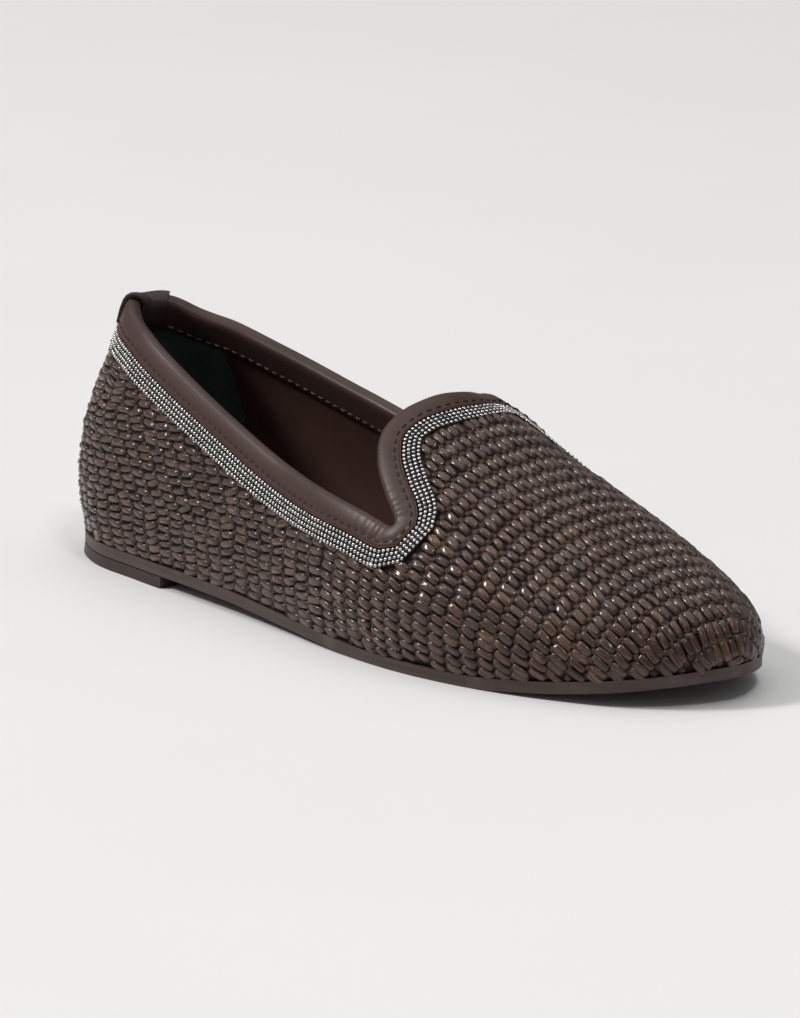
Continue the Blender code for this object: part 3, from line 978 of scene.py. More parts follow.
def ball_shape(bench: Bench, segments: int = 8, rings: int = 6) -> Mesh:
    """Small ball of diameter one.

    Args:
        bench: Maker of meshes.
        segments: Points round a ring.
        rings: Steps from pole to pole.

    Returns:
        The closed mesh.
    """
    angle, turn = np.meshgrid(np.pi * np.arange(1, rings) / rings,
                              2 * np.pi * np.arange(segments) / segments, indexing="ij")
    belt = np.stack([np.sin(angle) * np.cos(turn), np.sin(angle) * np.sin(turn), np.cos(angle)], -1) / 2
    points = np.concatenate([[[0.0, 0.0, 0.5]], belt.reshape(-1, 3), [[0.0, 0.0, -0.5]]])
    faces: Faces = []
    last_ring = 1 + (rings - 2) * segments
    for s in range(segments):
        n = (s + 1) % segments
        faces.append((0, 1 + s, 1 + n))
        for a in range(1, last_ring, segments):
            faces.append((a + s, a + segments + s, a + segments + n, a + n))
        faces.append((last_ring + s, len(points) - 1, last_ring + n))
    return bench.mesh("ball", points, faces)


def stitch_shape(bench: Bench, length: float, thick: float, bow: float = 0.18) -> Mesh:
    """One stitch: a short round thread whose ends go into the leather.

    Args:
        bench: Maker of meshes.
        length: Length of the stitch.
        thick: Thickness of the thread.
        bow: How far its middle stands up.

    Returns:
        The closed mesh in millimetres.
    """
    t = np.linspace(-1, 1, 8)[:, None]
    ring = np.linspace(0, 2 * np.pi, 6, endpoint=False)
    swell = thick / 2 * np.sqrt(np.maximum(1 - 0.75 * np.abs(t) ** 4, 0.05))
    rise = bow * (1 - 2.2 * t ** 2) + swell * np.sin(ring)
    grid = np.stack([t * length / 2 + 0 * ring, swell * np.cos(ring), rise], -1)
    return bench.mesh("stitch", *loft(grid, False))


class Effects:
    """Shader effects that several finishes share, each built once."""

    made: dict[str, NodeTree] = {}

    @classmethod
    def grain(cls) -> NodeTree:
        """Pebbled hide: height, and a slow patch of tone."""
        if "grain" not in cls.made:
            graph = Graph.group("hide_grain", "ShaderNodeTree", {"Scale": "Float"},
                                {"Height": "Float", "Patch": "Float"})
            scale = graph.add("NodeGroupInput").outputs["Scale"]
            spot = graph.spot()
            cells = graph.value("ShaderNodeTexVoronoi", {"Vector": spot, "Scale": scale}, feature="F1")
            fine = graph.noise(spot, graph.math("MULTIPLY", scale, 2.3), 3.0)
            raised, sunk = graph.math("MULTIPLY", fine, 0.5), graph.math("MULTIPLY", cells, 0.6)
            height = graph.math("SUBTRACT", raised, sunk)
            graph.add("NodeGroupOutput", {"Height": height, "Patch": graph.noise(spot, 55.0, 4.0)})
            cls.made["grain"] = graph.tree
        return cls.made["grain"]

    @classmethod
    def fibre(cls) -> NodeTree:
        """Fibres along a strand: streaks, nearness to its edge as the mask of its painted shade, and its
        tone.
        """
        if "fibre" not in cls.made:
            graph = Graph.group("strand_fibres", "ShaderNodeTree", {"Fineness": "Float"},
                                {"Streak": "Float", "Edge": "Float", "Tone": "Float"})
            fineness = graph.add("NodeGroupInput").outputs["Fineness"]
            tone = graph.tone()
            place = graph.value("ShaderNodeUVMap", uv_map="strand")
            u, v = graph.add("ShaderNodeSeparateXYZ", {0: place}).outputs[:2]
            far = graph.math("MULTIPLY", tone, 37.0)
            ahead = graph.math("ADD", graph.math("MULTIPLY", u, 0.9), far)
            aside = graph.math("MULTIPLY", v, fineness)
            spot = graph.value("ShaderNodeCombineXYZ", {0: ahead, 1: aside, 2: far})
            streak = graph.noise(spot, 2.0, 3.0, 0.6)
            # Nearness to the strand's flanks and ends: the mask of the painted shade where it dives under its
            # neighbours.
            wide, long = (graph.math("ABSOLUTE", graph.math("SUBTRACT", way, 0.5)) for way in (v, u))
            edge = graph.math("MAXIMUM", graph.ramp(wide, 0.25, 0.5), graph.ramp(long, 0.28, 0.5))
            graph.add("NodeGroupOutput", {"Streak": streak, "Edge": edge, "Tone": tone})
            cls.made["fibre"] = graph.tree
        return cls.made["fibre"]


@dataclass(frozen=True)
class Finish:
    """A finish with its record slot; each kind gives its own shader inputs."""

    name: str
    slot: str
    colour: Colour
    roughness: float = 0.5

    def inputs(self, graph: Graph) -> dict[str, Value]:
        """Values or sockets for the shader's inputs by name, with _ for a space."""
        raise NotImplementedError

    def make(self) -> Material:
        """Builds the material."""
        made = bpy.data.materials.new(self.name)
        made.use_nodes = True
        made.diffuse_color = (*self.colour, 1.0)
        graph = Graph(made.node_tree)
        shader = made.node_tree.nodes["Principled BSDF"]
        for name, value in {"Roughness": self.roughness, **self.inputs(graph)}.items():
            graph.plug(shader.inputs[name.replace("_", " ")], value)
        return made

    @staticmethod
    def bump(graph: Graph, height: NodeSocket, strength: float, depth: float) -> NodeSocket:
        """Normal from a height, with the depth in millimetres."""
        inputs = {"Height": height, "Strength": strength, "Distance": depth * MM}
        return graph.value("ShaderNodeBump", inputs)

    def rough(self, graph: Graph, value: Value, start: float, end: float) -> NodeSocket:
        """Roughness that runs with a value, given as changes of the finish's own."""
        return graph.ramp(value, 0.3, 0.7, self.roughness + start, self.roughness + end)


@dataclass(frozen=True)
class StrandFinish(Finish):
    """Glossy dyed raffia: fibres along the strand, tone from strand to strand, painted shade on the flanks
    and ends.
    """

    # deep: colour of the painted shade on the strand's flanks and ends.
    deep: Colour = (0.006, 0.003, 0.003)
    warm: Colour = (0.17, 0.084, 0.043)
    tint: Colour = (1.0, 0.86, 0.76)
    fineness: float = 3.4
    gloss: float = 0.38
    coat: float = 0.65

    def inputs(self, graph: Graph) -> dict[str, Value]:
        """Shader inputs of the strand."""
        fibre = graph.add("ShaderNodeGroup", node_tree=Effects.fibre())
        graph.plug(fibre.inputs["Fineness"], self.fineness)
        streak, edge, tone = fibre.outputs
        dark, light = (tuple(c * k for c in self.colour) for k in (0.28, 1.25))
        shade = graph.math("ADD", streak, graph.math("MULTIPLY", tone, 0.2))
        body = graph.mix(graph.ramp(shade, 0.42, 0.74), dark, light)
        warm = graph.math("MULTIPLY", graph.ramp(tone, 0.35, 0.9), graph.ramp(streak, 0.48, 0.66))
        body = graph.mix(warm, body, self.warm)
        # Painted shade: darker towards the flanks and ends, where the strand dives under its neighbours.
        body = graph.mix(graph.math("MULTIPLY", edge, 0.82), body, self.deep)
        return dict(Base_Color=body, Roughness=self.rough(graph, streak, 0.16, -0.08),
                    Normal=self.bump(graph, streak, 1.0, 0.7), Specular_IOR_Level=self.gloss,
                    Specular_Tint=(*self.tint, 1.0), Coat_Weight=self.coat, Coat_Roughness=0.15)


@dataclass(frozen=True)
class HideFinish(Finish):
    """Smooth leather: fine grain, slow changes of tone and a soft shine."""

    deep: Colour = (0.030, 0.020, 0.017)
    grain: float = 1500.0
    depth: float = 0.05
    coat: float = 0.12

    def inputs(self, graph: Graph) -> dict[str, Value]:
        """Shader inputs of the leather."""
        grain = graph.add("ShaderNodeGroup", node_tree=Effects.grain())
        graph.plug(grain.inputs["Scale"], self.grain)
        height, patch = grain.outputs
        body = graph.mix(graph.ramp(patch, 0.32, 0.68), self.deep, self.colour)
        return dict(Base_Color=body, Roughness=self.rough(graph, patch, 0.07, -0.05),
                    Normal=self.bump(graph, height, 0.5, self.depth), Specular_IOR_Level=0.22,
                    Coat_Weight=self.coat, Coat_Roughness=0.3)


@dataclass(frozen=True)
class BeadFinish(Finish):
    """Bright plated balls, a few of them duller."""

    dull: Colour = (0.34, 0.33, 0.32)

    def inputs(self, graph: Graph) -> dict[str, Value]:
        """Shader inputs of the balls."""
        body = graph.mix(graph.ramp(graph.tone(), 0.6, 1.0), self.colour, self.dull)
        fine = graph.noise(graph.spot(), 1400.0)
        return dict(Base_Color=body, Roughness=self.rough(graph, fine, -0.05, 0.1), Metallic=1.0)


@dataclass(frozen=True)
class EdgeFinish(Finish):
    """Burnished sole edge: fine lines along the edge and rubbed patches."""

    rubbed: Colour = (0.12, 0.10, 0.09)
    lines: float = 900.0

    def inputs(self, graph: Graph) -> dict[str, Value]:
        """Shader inputs of the edge."""
        spot = graph.spot()
        flat = graph.value("ShaderNodeMapping", {"Vector": spot, "Scale": (18.0, 18.0, self.lines)})
        line, patch = graph.noise(flat, 1.0, 3.0), graph.noise(spot, 70.0, 5.0)
        body = graph.mix(graph.ramp(line, 0.35, 0.65), tuple(c * 0.75 for c in self.colour), self.colour)
        body = graph.mix(graph.ramp(patch, 0.52, 0.74, 0.0, 0.55), body, self.rubbed)
        return dict(Base_Color=body, Roughness=self.rough(graph, patch, -0.07, 0.1),
                    Normal=self.bump(graph, line, 0.35, 0.05), Specular_IOR_Level=0.25)


@dataclass(frozen=True)
class NapFinish(Finish):
    """Suede, cloth or thread with a short nap."""

    shade: Colour = (0.004, 0.006, 0.006)
    sheen: float = 0.0

    def inputs(self, graph: Graph) -> dict[str, Value]:
        """Shader inputs of the nap."""
        spot = graph.spot()
        nap, sway = graph.noise(spot, 1900.0), graph.noise(spot, 90.0, 3.0)
        both = graph.math("ADD", graph.math("MULTIPLY", nap, 0.5), graph.math("MULTIPLY", sway, 0.5))
        body = graph.mix(graph.ramp(both, 0.36, 0.64), self.shade, self.colour)
        return dict(Base_Color=body, Normal=self.bump(graph, nap, 0.5, 0.12), Specular_IOR_Level=0.25,
                    Sheen_Weight=self.sheen)


@dataclass(frozen=True)
class FloorFinish(Finish):
    """Matt floor with a faint change of tone."""

    def inputs(self, graph: Graph) -> dict[str, Value]:
        """Shader inputs of the floor."""
        tone = graph.ramp(graph.noise(graph.spot(), 6.0), 0.3, 0.7)
        return dict(Base_Color=graph.mix(tone, tuple(c * 0.985 for c in self.colour), self.colour))


@dataclass
class Weave:
    """Places of the strands: rows beside the vamp's ridge, and rows round the quarters and the heel."""

    last: Last
    pattern: Pattern
    pitch: float = 2.7
    period: float = 5.7
    rear_period: float = 6.3
    start: float = 138.0
    rear_end: float = 160.0
    apart: float = 1.7
    trim: float = 4.6
    foot: float = 0.95
    lean: float = 2.0
    lean_from: float = 8.0
    ridge_step: float = 0.5
    ridge_points: int = 160
    high: float = 200.0
    toe_turn: tuple[float, float] = (90.0, -20.0)
    vamp_turn: tuple[float, float, int] = (90.0, -55.0, 175)
    wall_turn: tuple[float, float, int] = (-30.0, 80.0, 150)
    wall_far: float = 60.0
    toe_ahead: float = 38.0
    toe_rise: float = 30.0
    heart: float = 0.35
    vamp_steps: int = 60
    vamp_reach: float = 100.0
    wall_reach: float = 71.0
    wall_top: float = 66.0
    rear: int = 200
    seed: int = 7
    stray: tuple[float, float] = (0.22, 0.12)
    uneven: tuple[float, float, float] = (0.10, 0.14, 0.26)
    spread: tuple[tuple[float, float], ...] = (
        (0.0, 1.16), (60.0, 1.16), (100.0, 1.10), (138.0, 1.0), (160.0, 1.0))

    def __post_init__(self) -> None:
        """Works out every place of both kinds of strand before the collar's trim is cut out."""
        self.found: dict[Strand, list[dict[str, Array]]] = {kind: [] for kind in Strand}
        reach = self.pitch * (np.arange(int((self.vamp_reach - 1) / self.pitch)) + 0.5)
        grids = {side: self.vamp_grid(side) for side in Side}
        edge = {}
        for n, side in enumerate(Side):
            lines = between(np.swapaxes(grids[side], 0, 1), reach)
            edge[side] = lines[:, 0]
            for j, line in enumerate(lines):
                self.lay(line, 0.0, self.period, self.vamp_steps, 2 * j + n, np.ones(len(line)))
        walls, station = self.walls()
        spread = curve_of(self.spread)(station)
        turn = np.linspace(0, 1, len(walls))
        span = {side: self.span(grids[side][0]) for side in Side}
        for j, distance in enumerate(reach):
            level = (span[Side.OUTER] * (1 - turn) + span[Side.INNER] * turn - distance) / spread
            if level.max() < 0.2 or level.min() > self.wall_top:
                continue
            up = np.clip(level, 0, self.wall_reach - 0.1)
            line = pick(walls, up)
            line[:, 2] += np.minimum(level, 0)
            run = lengths(line)
            begin, end = (run[np.argmin(np.sum((line - edge[side][j]) ** 2, 1))] for side in Side)
            count = max(int(round((end - begin) / self.rear_period)), 1)
            lean = (self.lean * j) % self.rear_period - self.rear_period / 2
            lean *= np.clip((up.mean() - self.lean_from) / self.lean_from, 0, 1)
            self.lay(line, begin, (end - begin) / count, count, self.rear + j, 1 / spread, lean)

    def ridge_line(self) -> Array:
        """Highest line of the vamp from the tongue over the toe down to the sole."""
        last = self.last
        toe = last.middle[1]
        x = np.linspace(self.start, toe, self.ridge_points)
        top = np.stack([x, last.ridge(x), 0 * x + self.high], -1)
        angle = np.radians(np.linspace(*self.toe_turn, self.ridge_points))[1:]
        ahead = toe + self.toe_ahead * np.cos(angle)
        rise = last.feather(toe) + last.middle_rise + self.toe_rise * np.sin(angle)
        front = np.stack([ahead, last.ridge(np.minimum(ahead, last.plan.front)), rise], -1)
        line = last.skin(np.concatenate([top, front]))
        return along(line, np.arange(0, lengths(line)[-1], self.ridge_step))

    def vamp_grid(self, side: Side) -> Array:
        """Points of one side of the vamp.

        Args:
            side: Side of the shoe.

        Returns:
            Array of places along the ridge, millimetres from it, and coordinates.
        """
        last = self.last
        line = self.ridge_line()
        x = line[:, 0]
        base = last.feather(x)
        heart = base + self.heart * np.maximum(line[:, 2] - base, 1.0)
        tilt = np.radians(np.linspace(*self.vamp_turn))
        ray = np.stack([0 * tilt, side.value * np.cos(tilt), np.sin(tilt)], -1)
        section = last.cast(np.stack([x, last.ridge(x), heart], -1)[:, None], ray[None], far=90.0, steps=28)
        return np.array([along(arc, np.arange(0, self.vamp_reach + 1)) for arc in section])

    def walls(self) -> tuple[Array, Array]:
        """Lines up the quarters from the sole's edge, from the outer side round the heel to the inner side.

        Returns:
            Lines with a point for each millimetre up the wall, and the station of each line.
        """
        last = self.last
        outer, inner = (edge[edge[:, 0] <= self.rear_end] for edge in (last.plan.outer, last.plan.inner))
        foot = np.concatenate([outer[::-1], inner[1:]])
        foot = along(foot, np.arange(0, lengths(foot)[-1], 1.0))
        centre = last.centre(np.concatenate([foot, np.zeros((len(foot), 1))], 1))
        way = unit(foot - centre[:, :2])
        tilt = np.radians(np.linspace(*self.wall_turn))[None, :, None]
        rise = np.broadcast_to(np.sin(tilt), (len(foot), tilt.size, 1))
        ray = np.concatenate([way[:, None] * np.cos(tilt), rise], -1)
        lines = []
        for line in last.skin(centre[:, None] + self.wall_far * ray):
            first = int(np.argmax(line[:, 2] > last.feather(line[:, 0]) + self.pattern.gap))
            lines.append(along(line[max(first - 1, 0):], np.arange(0, self.wall_reach + 1)))
        return np.array(lines), foot[:, 0]

    def span(self, arc: Array) -> float:
        """Way down one section from the ridge to the sole's edge."""
        low = arc[:, 2] < self.last.feather(arc[0, 0]) + self.pattern.gap
        return float(np.argmax(low)) if low.any() else float(len(arc))

    def lay(self, line: Array, begin: float, gap: float, count: int, strand: int, narrow: Array,
            lean: float = 0.0) -> None:
        """Sets places along one row, lengthwise floats at half steps and cross ones between.

        Args:
            line: Points of the row.
            begin: Where along it the first step begins.
            gap: Length of a step.
            count: How many steps.
            strand: Number of the row.
            narrow: How wide the row is at each of its points, as a share.
            lean: Largest shift along the row.
        """
        run = lengths(line)
        ahead = unit(np.gradient(line, axis=0))
        for kind, offset in ((Strand.LENGTHWISE, 0.5), (Strand.CROSS, 1.0)):
            step = np.arange(count) + offset
            spot = begin + gap * step - lean * np.sin(2 * np.pi * step / count)
            spot = spot[(spot > run[0]) & (spot < run[-1])]
            self.found[kind].append({
                "point": read(line, run, spot), "run": read(ahead, run, spot),
                "strand": np.full(len(spot), strand), "stretch": np.full(len(spot), gap / self.period),
                "narrow": np.interp(spot, run, narrow)})

    def spots(self, kind: Strand) -> dict[str, Spots]:
        """Places of one kind of strand on the upper.

        Args:
            kind: Which way the strands lie.

        Returns:
            Places below the trim and above the sole, none on top of another, for vamp and quarters.
        """
        found = self.found[kind]
        rows = {key: np.concatenate([row[key] for row in found]) for key in found[0]}
        random = np.random.default_rng(self.seed + len(kind.name))
        point, run = rows["point"], unit(rows["run"])
        out = self.last.normal(point)
        over = np.cross(out, run)
        share = 0.5 if kind is Strand.CROSS else 0.0
        stray = random.normal(0, 1, (len(point), 2)) * np.array(self.stray)
        aside = stray[:, 1] + share * self.pitch * rows["narrow"]
        point = point + run * stray[:, :1] + over * aside[:, None]
        rows.update(point=point, out=out, run=over if kind is Strand.CROSS else run)
        above = point[:, 2] - self.last.feather(point[:, 0])
        point[:, 2] += np.clip(self.foot - above, 0, None)
        down, width = self.pattern.down(point)
        keep = (above > 0.1) & (down > width + self.trim)
        rows = {key: value[keep] for key, value in rows.items()}
        point = rows["point"]
        chosen = np.zeros(len(point), bool)
        for n in range(len(point)):
            near = point[:n][chosen[:n]]
            chosen[n] = len(near) == 0 or np.min(np.sum((near - point[n]) ** 2, 1)) > self.apart ** 2
        rows = {key: value[chosen] for key, value in rows.items()}
        point, out, strand = rows["point"], rows["out"], rows["strand"]
        count = len(point)
        size = 1 + random.uniform(-1, 1, (count, 3)) * np.array(self.uneven)
        lengthwise, across = (1, 0) if kind is Strand.CROSS else (0, 1)
        size[:, lengthwise] *= rows["stretch"]
        size[:, across] *= rows["narrow"]
        tone = np.clip(0.35 * random.random(1000)[strand] + 0.65 * random.random(count), 0, 1)
        flip = np.where(random.random(count) < 0.5, -1.0, 1.0)[:, None]
        point = point + out * self.last.crease(point)[:, None]
        every = Spots(point, out, rows["run"] * flip, size, tone)
        return {"vamp": every.only(strand < self.rear), "quarters": every.only(strand >= self.rear)}


@dataclass
class Upper:
    """Woven wall of vamp and quarters with its lining and heel grip."""

    bench: Bench
    pattern: Pattern
    columns: int = 320
    ground_rows: int = 46
    lining_rows: int = 30
    grip_rows: int = 26
    edge: float = 1.6
    cloth: float = 1.05
    wall: float = 2.0
    lining_top: float = 8.5
    grip_top: float = 10.5
    grip_front: float = 27.0
    grip_slant: float = 4.0
    grip: float = 0.38
    grip_columns: int = 61
    float_shape: StrandShape = StrandShape(6.7, 2.80, 0.96, 0.60, 6, 6)
    cross_shape: StrandShape = StrandShape(2.3, 2.5, 0.56, 0.40, 5, 4)
    grooves: tuple[tuple[float, float], ...] = ((-0.25, 0.45), (0.1, -0.35), (0.3, 0.2), (-0.05, 0.6))
    finish: StrandFinish = StrandFinish("raffia strands", "raffia", (0.062, 0.024, 0.015), 0.32)
    cross: StrandFinish = StrandFinish("raffia cross strands", "raffia", (0.046, 0.021, 0.015), 0.5,
                                       warm=(0.10, 0.048, 0.028), fineness=3.0, coat=0.1)
    ground: NapFinish = NapFinish("raffia ground", "raffia", (0.014, 0.007, 0.006), 0.8,
                                  shade=(0.005, 0.003, 0.003))
    lined: HideFinish = HideFinish("lining leather", "lining", (0.082, 0.041, 0.034), 0.5,
                                   deep=(0.062, 0.031, 0.026), grain=1700.0, coat=0.05)
    grip_finish: NapFinish = NapFinish("heel grip suede", "lining", (0.072, 0.086, 0.083), 0.8,
                                       shade=(0.044, 0.054, 0.052), sheen=0.1)

    def shell(self, top: float, outer: float, inner: float, rows: int) -> Array:
        """Rings of a thin shell between two depths of the wall.

        Args:
            top: Distance of its upper edge below the fold.
            outer: Height of its outer face off the wall's outer face.
            inner: Height of its inner face.
            rows: Steps down the wall.

        Returns:
            Array of columns, ring points and coordinates.
        """
        last = self.pattern.last
        lines = self.pattern.lines(self.columns)
        total = np.array([lengths(line)[-1] for line in lines])
        down = top + (total - top)[:, None] * np.linspace(0, 1, rows)
        point, out = self.pattern.sheet(lines, down)
        point = point + out * last.crease(point)[..., None]
        grid = np.concatenate([point + out * outer, (point + out * inner)[:, ::-1]], 1)
        grid[..., 2] = np.maximum(grid[..., 2], last.feather(grid[..., 0]) + self.pattern.gap)
        return grid

    def behind(self, grid: Array) -> Array:
        """Part of a shell behind the heel grip's front edge.

        Args:
            grid: Rings of the whole shell.

        Returns:
            Rings with evenly spaced columns.
        """
        depth = np.linspace(0, 1, grid.shape[1] // 2)
        place = np.arange(len(grid))
        rows = []
        for j, v in enumerate(np.concatenate([depth, depth[::-1]])):
            inside = np.nonzero(grid[:, j, 0] < self.grip_front + self.grip_slant * v)[0]
            rows.append(read(grid[:, j], place, np.linspace(inside[0], inside[-1], self.grip_columns)))
        return np.stack(rows, 1)

    def build(self) -> None:
        """Makes the ground, both kinds of strand, the lining and the heel grip."""
        bench = self.bench
        grid = self.shell(self.edge, 0.0, -self.cloth, self.ground_rows)
        bench.lofted("woven_ground", grid, True, self.ground, "upper")
        weave = Weave(self.pattern.last, self.pattern)
        long = [replace(self.float_shape, groove=groove, twist=twist) for groove, twist in self.grooves]
        kinds = (("raffia_strands_", Strand.LENGTHWISE, long, self.finish, 0.13, 11),
                 ("raffia_cross_strands_", Strand.CROSS, [self.cross_shape], self.cross, 0.3, 12))
        for name, kind, shapes, finish, turn, seed in kinds:
            meshes, material = [shape.make(bench) for shape in shapes], finish.make()
            for part, spots in weave.spots(kind).items():
                made = bench.repeat(name + part, spots, meshes, material, turn, seed)
                bench.hand_over(made, finish.slot)
        grid = self.shell(self.lining_top, -self.cloth - 0.05, -self.wall, self.lining_rows)
        bench.lofted("lining", grid, True, self.lined)
        grid = self.shell(self.grip_top, -self.wall - 0.03, -self.wall - self.grip, self.grip_rows)
        bench.lofted("heel_grip", self.behind(grid), False, self.grip_finish, sharp=0.7)


@dataclass
class Collar:
    """Leather rolled over the topline, with its stitches and the folded tab at the back."""

    bench: Bench
    pattern: Pattern
    inside: float = 10.0
    stitch_step: float = 3.0
    stitch: tuple[float, float] = (2.3, 0.5)
    inside_stitch: tuple[float, float] = (2.1, 0.42)
    pucker: float = 0.20
    pucker_reach: float = 9.0
    pucker_step: float = 3.3
    piping_size: float = 0.24
    tab_width: float = 16.0
    tab_columns: int = 25
    tab_rise: int = 3
    finish: HideFinish = HideFinish("binding leather", "leather", (0.066, 0.037, 0.032), 0.42,
                                    deep=(0.054, 0.031, 0.027), coat=0.05)
    tab_finish: HideFinish = HideFinish("tab leather", "leather", (0.046, 0.029, 0.025), 0.5,
                                        deep=(0.030, 0.019, 0.016), coat=0.03)
    thread: NapFinish = NapFinish("dark thread", "leather", (0.075, 0.022, 0.019), 0.6,
                                  shade=(0.03, 0.010, 0.009))
    piping: NapFinish = NapFinish("edge paint", "leather", (0.090, 0.030, 0.024), 0.5,
                                  shade=(0.05, 0.018, 0.014))
    tan: NapFinish = NapFinish("tan thread", "leather", (0.24, 0.16, 0.10), 0.6, shade=(0.12, 0.075, 0.045))

    def puckers(self) -> Array:
        """Small gathers of the leather round both corners of the throat."""
        fold, heel = self.pattern.path[:, 0], self.pattern.heel
        run = lengths(np.concatenate([fold, fold[:1]]))[:-1]
        move = np.zeros(len(fold))
        for corner in (np.argmax(fold[:heel, 0]), heel + np.argmax(fold[heel:, 0])):
            off = run - run[corner]
            wave = np.sin(2 * np.pi * off / self.pucker_step + 0.7 * np.sin(off / 2.0))
            move += np.exp(-((off / self.pucker_reach) ** 2)) * wave
        return move * self.pucker

    def binding(self) -> Array:
        """Rings of the rolled leather, one section for each place round the collar."""
        w, gather, inside = self.pattern.width, self.puckers(), self.inside
        outside = (
            (w, 0.32, 0.0), (w, 0.80, 0.0), (w - 0.35, 1.14, 0.1), (w - 1.0, 1.26, 0.2), (w - 1.5, 1.22, 0.1),
            (w - 2.1, 1.34, 0.5), (w * 0.62, 1.44, 1.0), (w * 0.42, 1.47, 1.0), (1.7, 1.45, 1.0),
            (0.85, 1.28, 0.8), (0.32, 0.82, 0.5), (0.1, 0.10, 0.2))
        within = (
            (0.05, -0.90), (0.15, -1.80), (0.55, -2.45), (1.3, -2.86), (2.6, -3.02), (5.5, -3.06),
            (inside - 1.4, -3.04), (inside - 0.4, -2.96), (inside, -2.80), (inside, -2.33), (6.0, -2.32),
            (1.36, -2.32), (1.32, -1.0), (1.36, 0.31), (w * 0.5, 0.31))
        ring = self.pattern.ring
        rings = [ring(down, height + share * gather)[0] for down, height, share in outside]
        rings += [ring(down, height)[0] for down, height in within]
        return np.stack(rings, 1)

    def thread_line(self, name: str, distance: Array, height: float, finish: NapFinish, inwards: bool,
                    length: float, thick: float) -> None:
        """Row of stitches that follows the fold.

        Args:
            name: Name of the piece.
            distance: Distance down from the fold.
            height: Height off the wall's outer face.
            finish: Finish of the thread.
            inwards: Whether the stitches show inside the shoe.
            length: Length of one stitch.
            thick: Thickness of the thread.
        """
        spots = follow(self.pattern, distance, height, self.stitch_step)
        if inwards:
            spots.out = -spots.out
        shape = stitch_shape(self.bench, length, thick)
        made = self.bench.repeat(name, spots, [shape], finish.make(), 0.05, 21)
        self.bench.hand_over(made, finish.slot)

    def tab(self) -> Array:
        """Rings of the strip folded over the binding at the back of the heel."""
        pattern = self.pattern
        step = lengths(pattern.path[:, 0])[-1] / (pattern.count - 1)
        place = pattern.heel + np.linspace(-1, 1, self.tab_columns) * self.tab_width / 2 / step
        path, out = between(pattern.path, place), unit(between(pattern.out, place))
        crown = unit(path[:, 0] - path[:, 1])
        rise = self.tab_rise
        over = np.stack([path[:, 0] + crown * k for k in range(rise, 0, -1)], 1)
        path = np.swapaxes(np.concatenate([over, path], 1), 0, 1)
        out = np.swapaxes(np.concatenate([np.repeat(out[:, :1], rise, axis=1), out], 1), 0, 1)
        section = (
            (8.5, 1.62), (8.2, 1.90), (4.0, 2.52), (1.6, 2.60), (0.4, 2.30), (-0.6, 1.55), (-1.2, 0.40),
            (-1.36, -1.0), (-1.2, -2.4), (-0.6, -3.5), (0.4, -4.25), (1.6, -4.60), (5.0, -4.68), (9.0, -4.62),
            (9.2, -4.40), (9.2, -3.55), (5.0, -3.55), (1.6, -3.50), (0.6, -3.28), (-0.1, -2.8), (-0.45, -1.8),
            (-0.5, -1.0), (-0.45, -0.2), (-0.1, 0.80), (0.6, 1.50), (1.6, 1.62), (4.0, 1.60), (8.5, 1.30))
        rings = [between(path, down + rise) + unit(between(out, down + rise)) * off for down, off in section]
        return np.stack(rings, 1)

    def build(self) -> None:
        """Makes the binding, its painted edge, the stitches and the back tab."""
        bench, pattern, size = self.bench, self.pattern, self.piping_size
        bench.lofted("topline_binding_leather", self.binding(), True, self.finish, "topline_binding")
        edge = [pattern.ring(pattern.width + 0.02 + size * np.cos(a), 1.02 + size * np.sin(a))[0]
                for a in np.linspace(0, 2 * np.pi, 6, endpoint=False)]
        bench.lofted("binding_edge", np.stack(edge, 1), True, self.piping)
        self.thread_line("binding_stitches", pattern.width - 1.5, 1.24, self.thread, False, *self.stitch)
        self.thread_line("inside_stitches", self.inside - 1.6, -3.05, self.tan, True, *self.inside_stitch)
        bench.lofted("back_tab_leather", self.tab(), False, self.tab_finish, "back_tab", sharp=0.9)


def follow(pattern: Pattern, distance: Array, height: float, step: float) -> Spots:
    """Even places along a ring that follows the fold.

    Args:
        pattern: Lines of the upper.
        distance: Distance down from the fold, one for all places or one for each.
        height: Height off the wall's outer face.
        step: Wanted distance between places.

    Returns:
        Places with their directions, size one, and tones.
    """
    closed, out = (np.concatenate([ring, ring[:1]]) for ring in pattern.ring(distance, height))
    run = lengths(closed)
    count = int(round(run[-1] / step))
    spot = (np.arange(count) + 0.5) * run[-1] / count
    ahead = unit(along(closed, spot + 0.4) - along(closed, spot - 0.4))
    tone = np.random.default_rng(count).random(count)
    return Spots(along(closed, spot), unit(read(out, run, spot)), ahead, np.ones((count, 3)), tone)


@dataclass
class BeadTrim:
    """Dark band below the binding with rows of ball chain."""

    bench: Bench
    pattern: Pattern
    gap: float = 0.3
    width: float = 5.2
    rows: int = 4
    seat: float = 1.0
    ball: float = 1.1
    flat: float = 0.66
    step: float = 1.47
    finish: BeadFinish = BeadFinish("ball chain", "beads", (0.62, 0.60, 0.58), 0.2)
    band: NapFinish = NapFinish("bead band", "beads", (0.018, 0.014, 0.013), 0.7)

    def build(self) -> None:
        """Makes the band and the chain."""
        bench, pattern, width = self.bench, self.pattern, self.width
        start = pattern.width + self.gap
        section = ((0.0, 0.30), (0.02, 0.62), (0.25, 0.78), (width / 2, 0.80), (width - 0.25, 0.78),
                   (width - 0.02, 0.62), (width, 0.30), (width / 2, 0.30))
        grid = np.stack([pattern.ring(start + down, height)[0] for down, height in section], 1)
        bench.lofted("bead_band", grid, True, self.band, "bead_trim")
        pitch = width / self.rows
        spots = Spots.joined([follow(pattern, start + (row + 0.5) * pitch, self.seat, self.step)
                              for row in range(self.rows)])
        spots.size = spots.size * np.array([self.ball, self.ball, self.ball * self.flat])
        made = bench.repeat("ball_chain", spots, [ball_shape(bench)], self.finish.make(), 0.4, 31)
        bench.hand_over(made, self.finish.slot)


Height = Callable[[Array, float], Array]


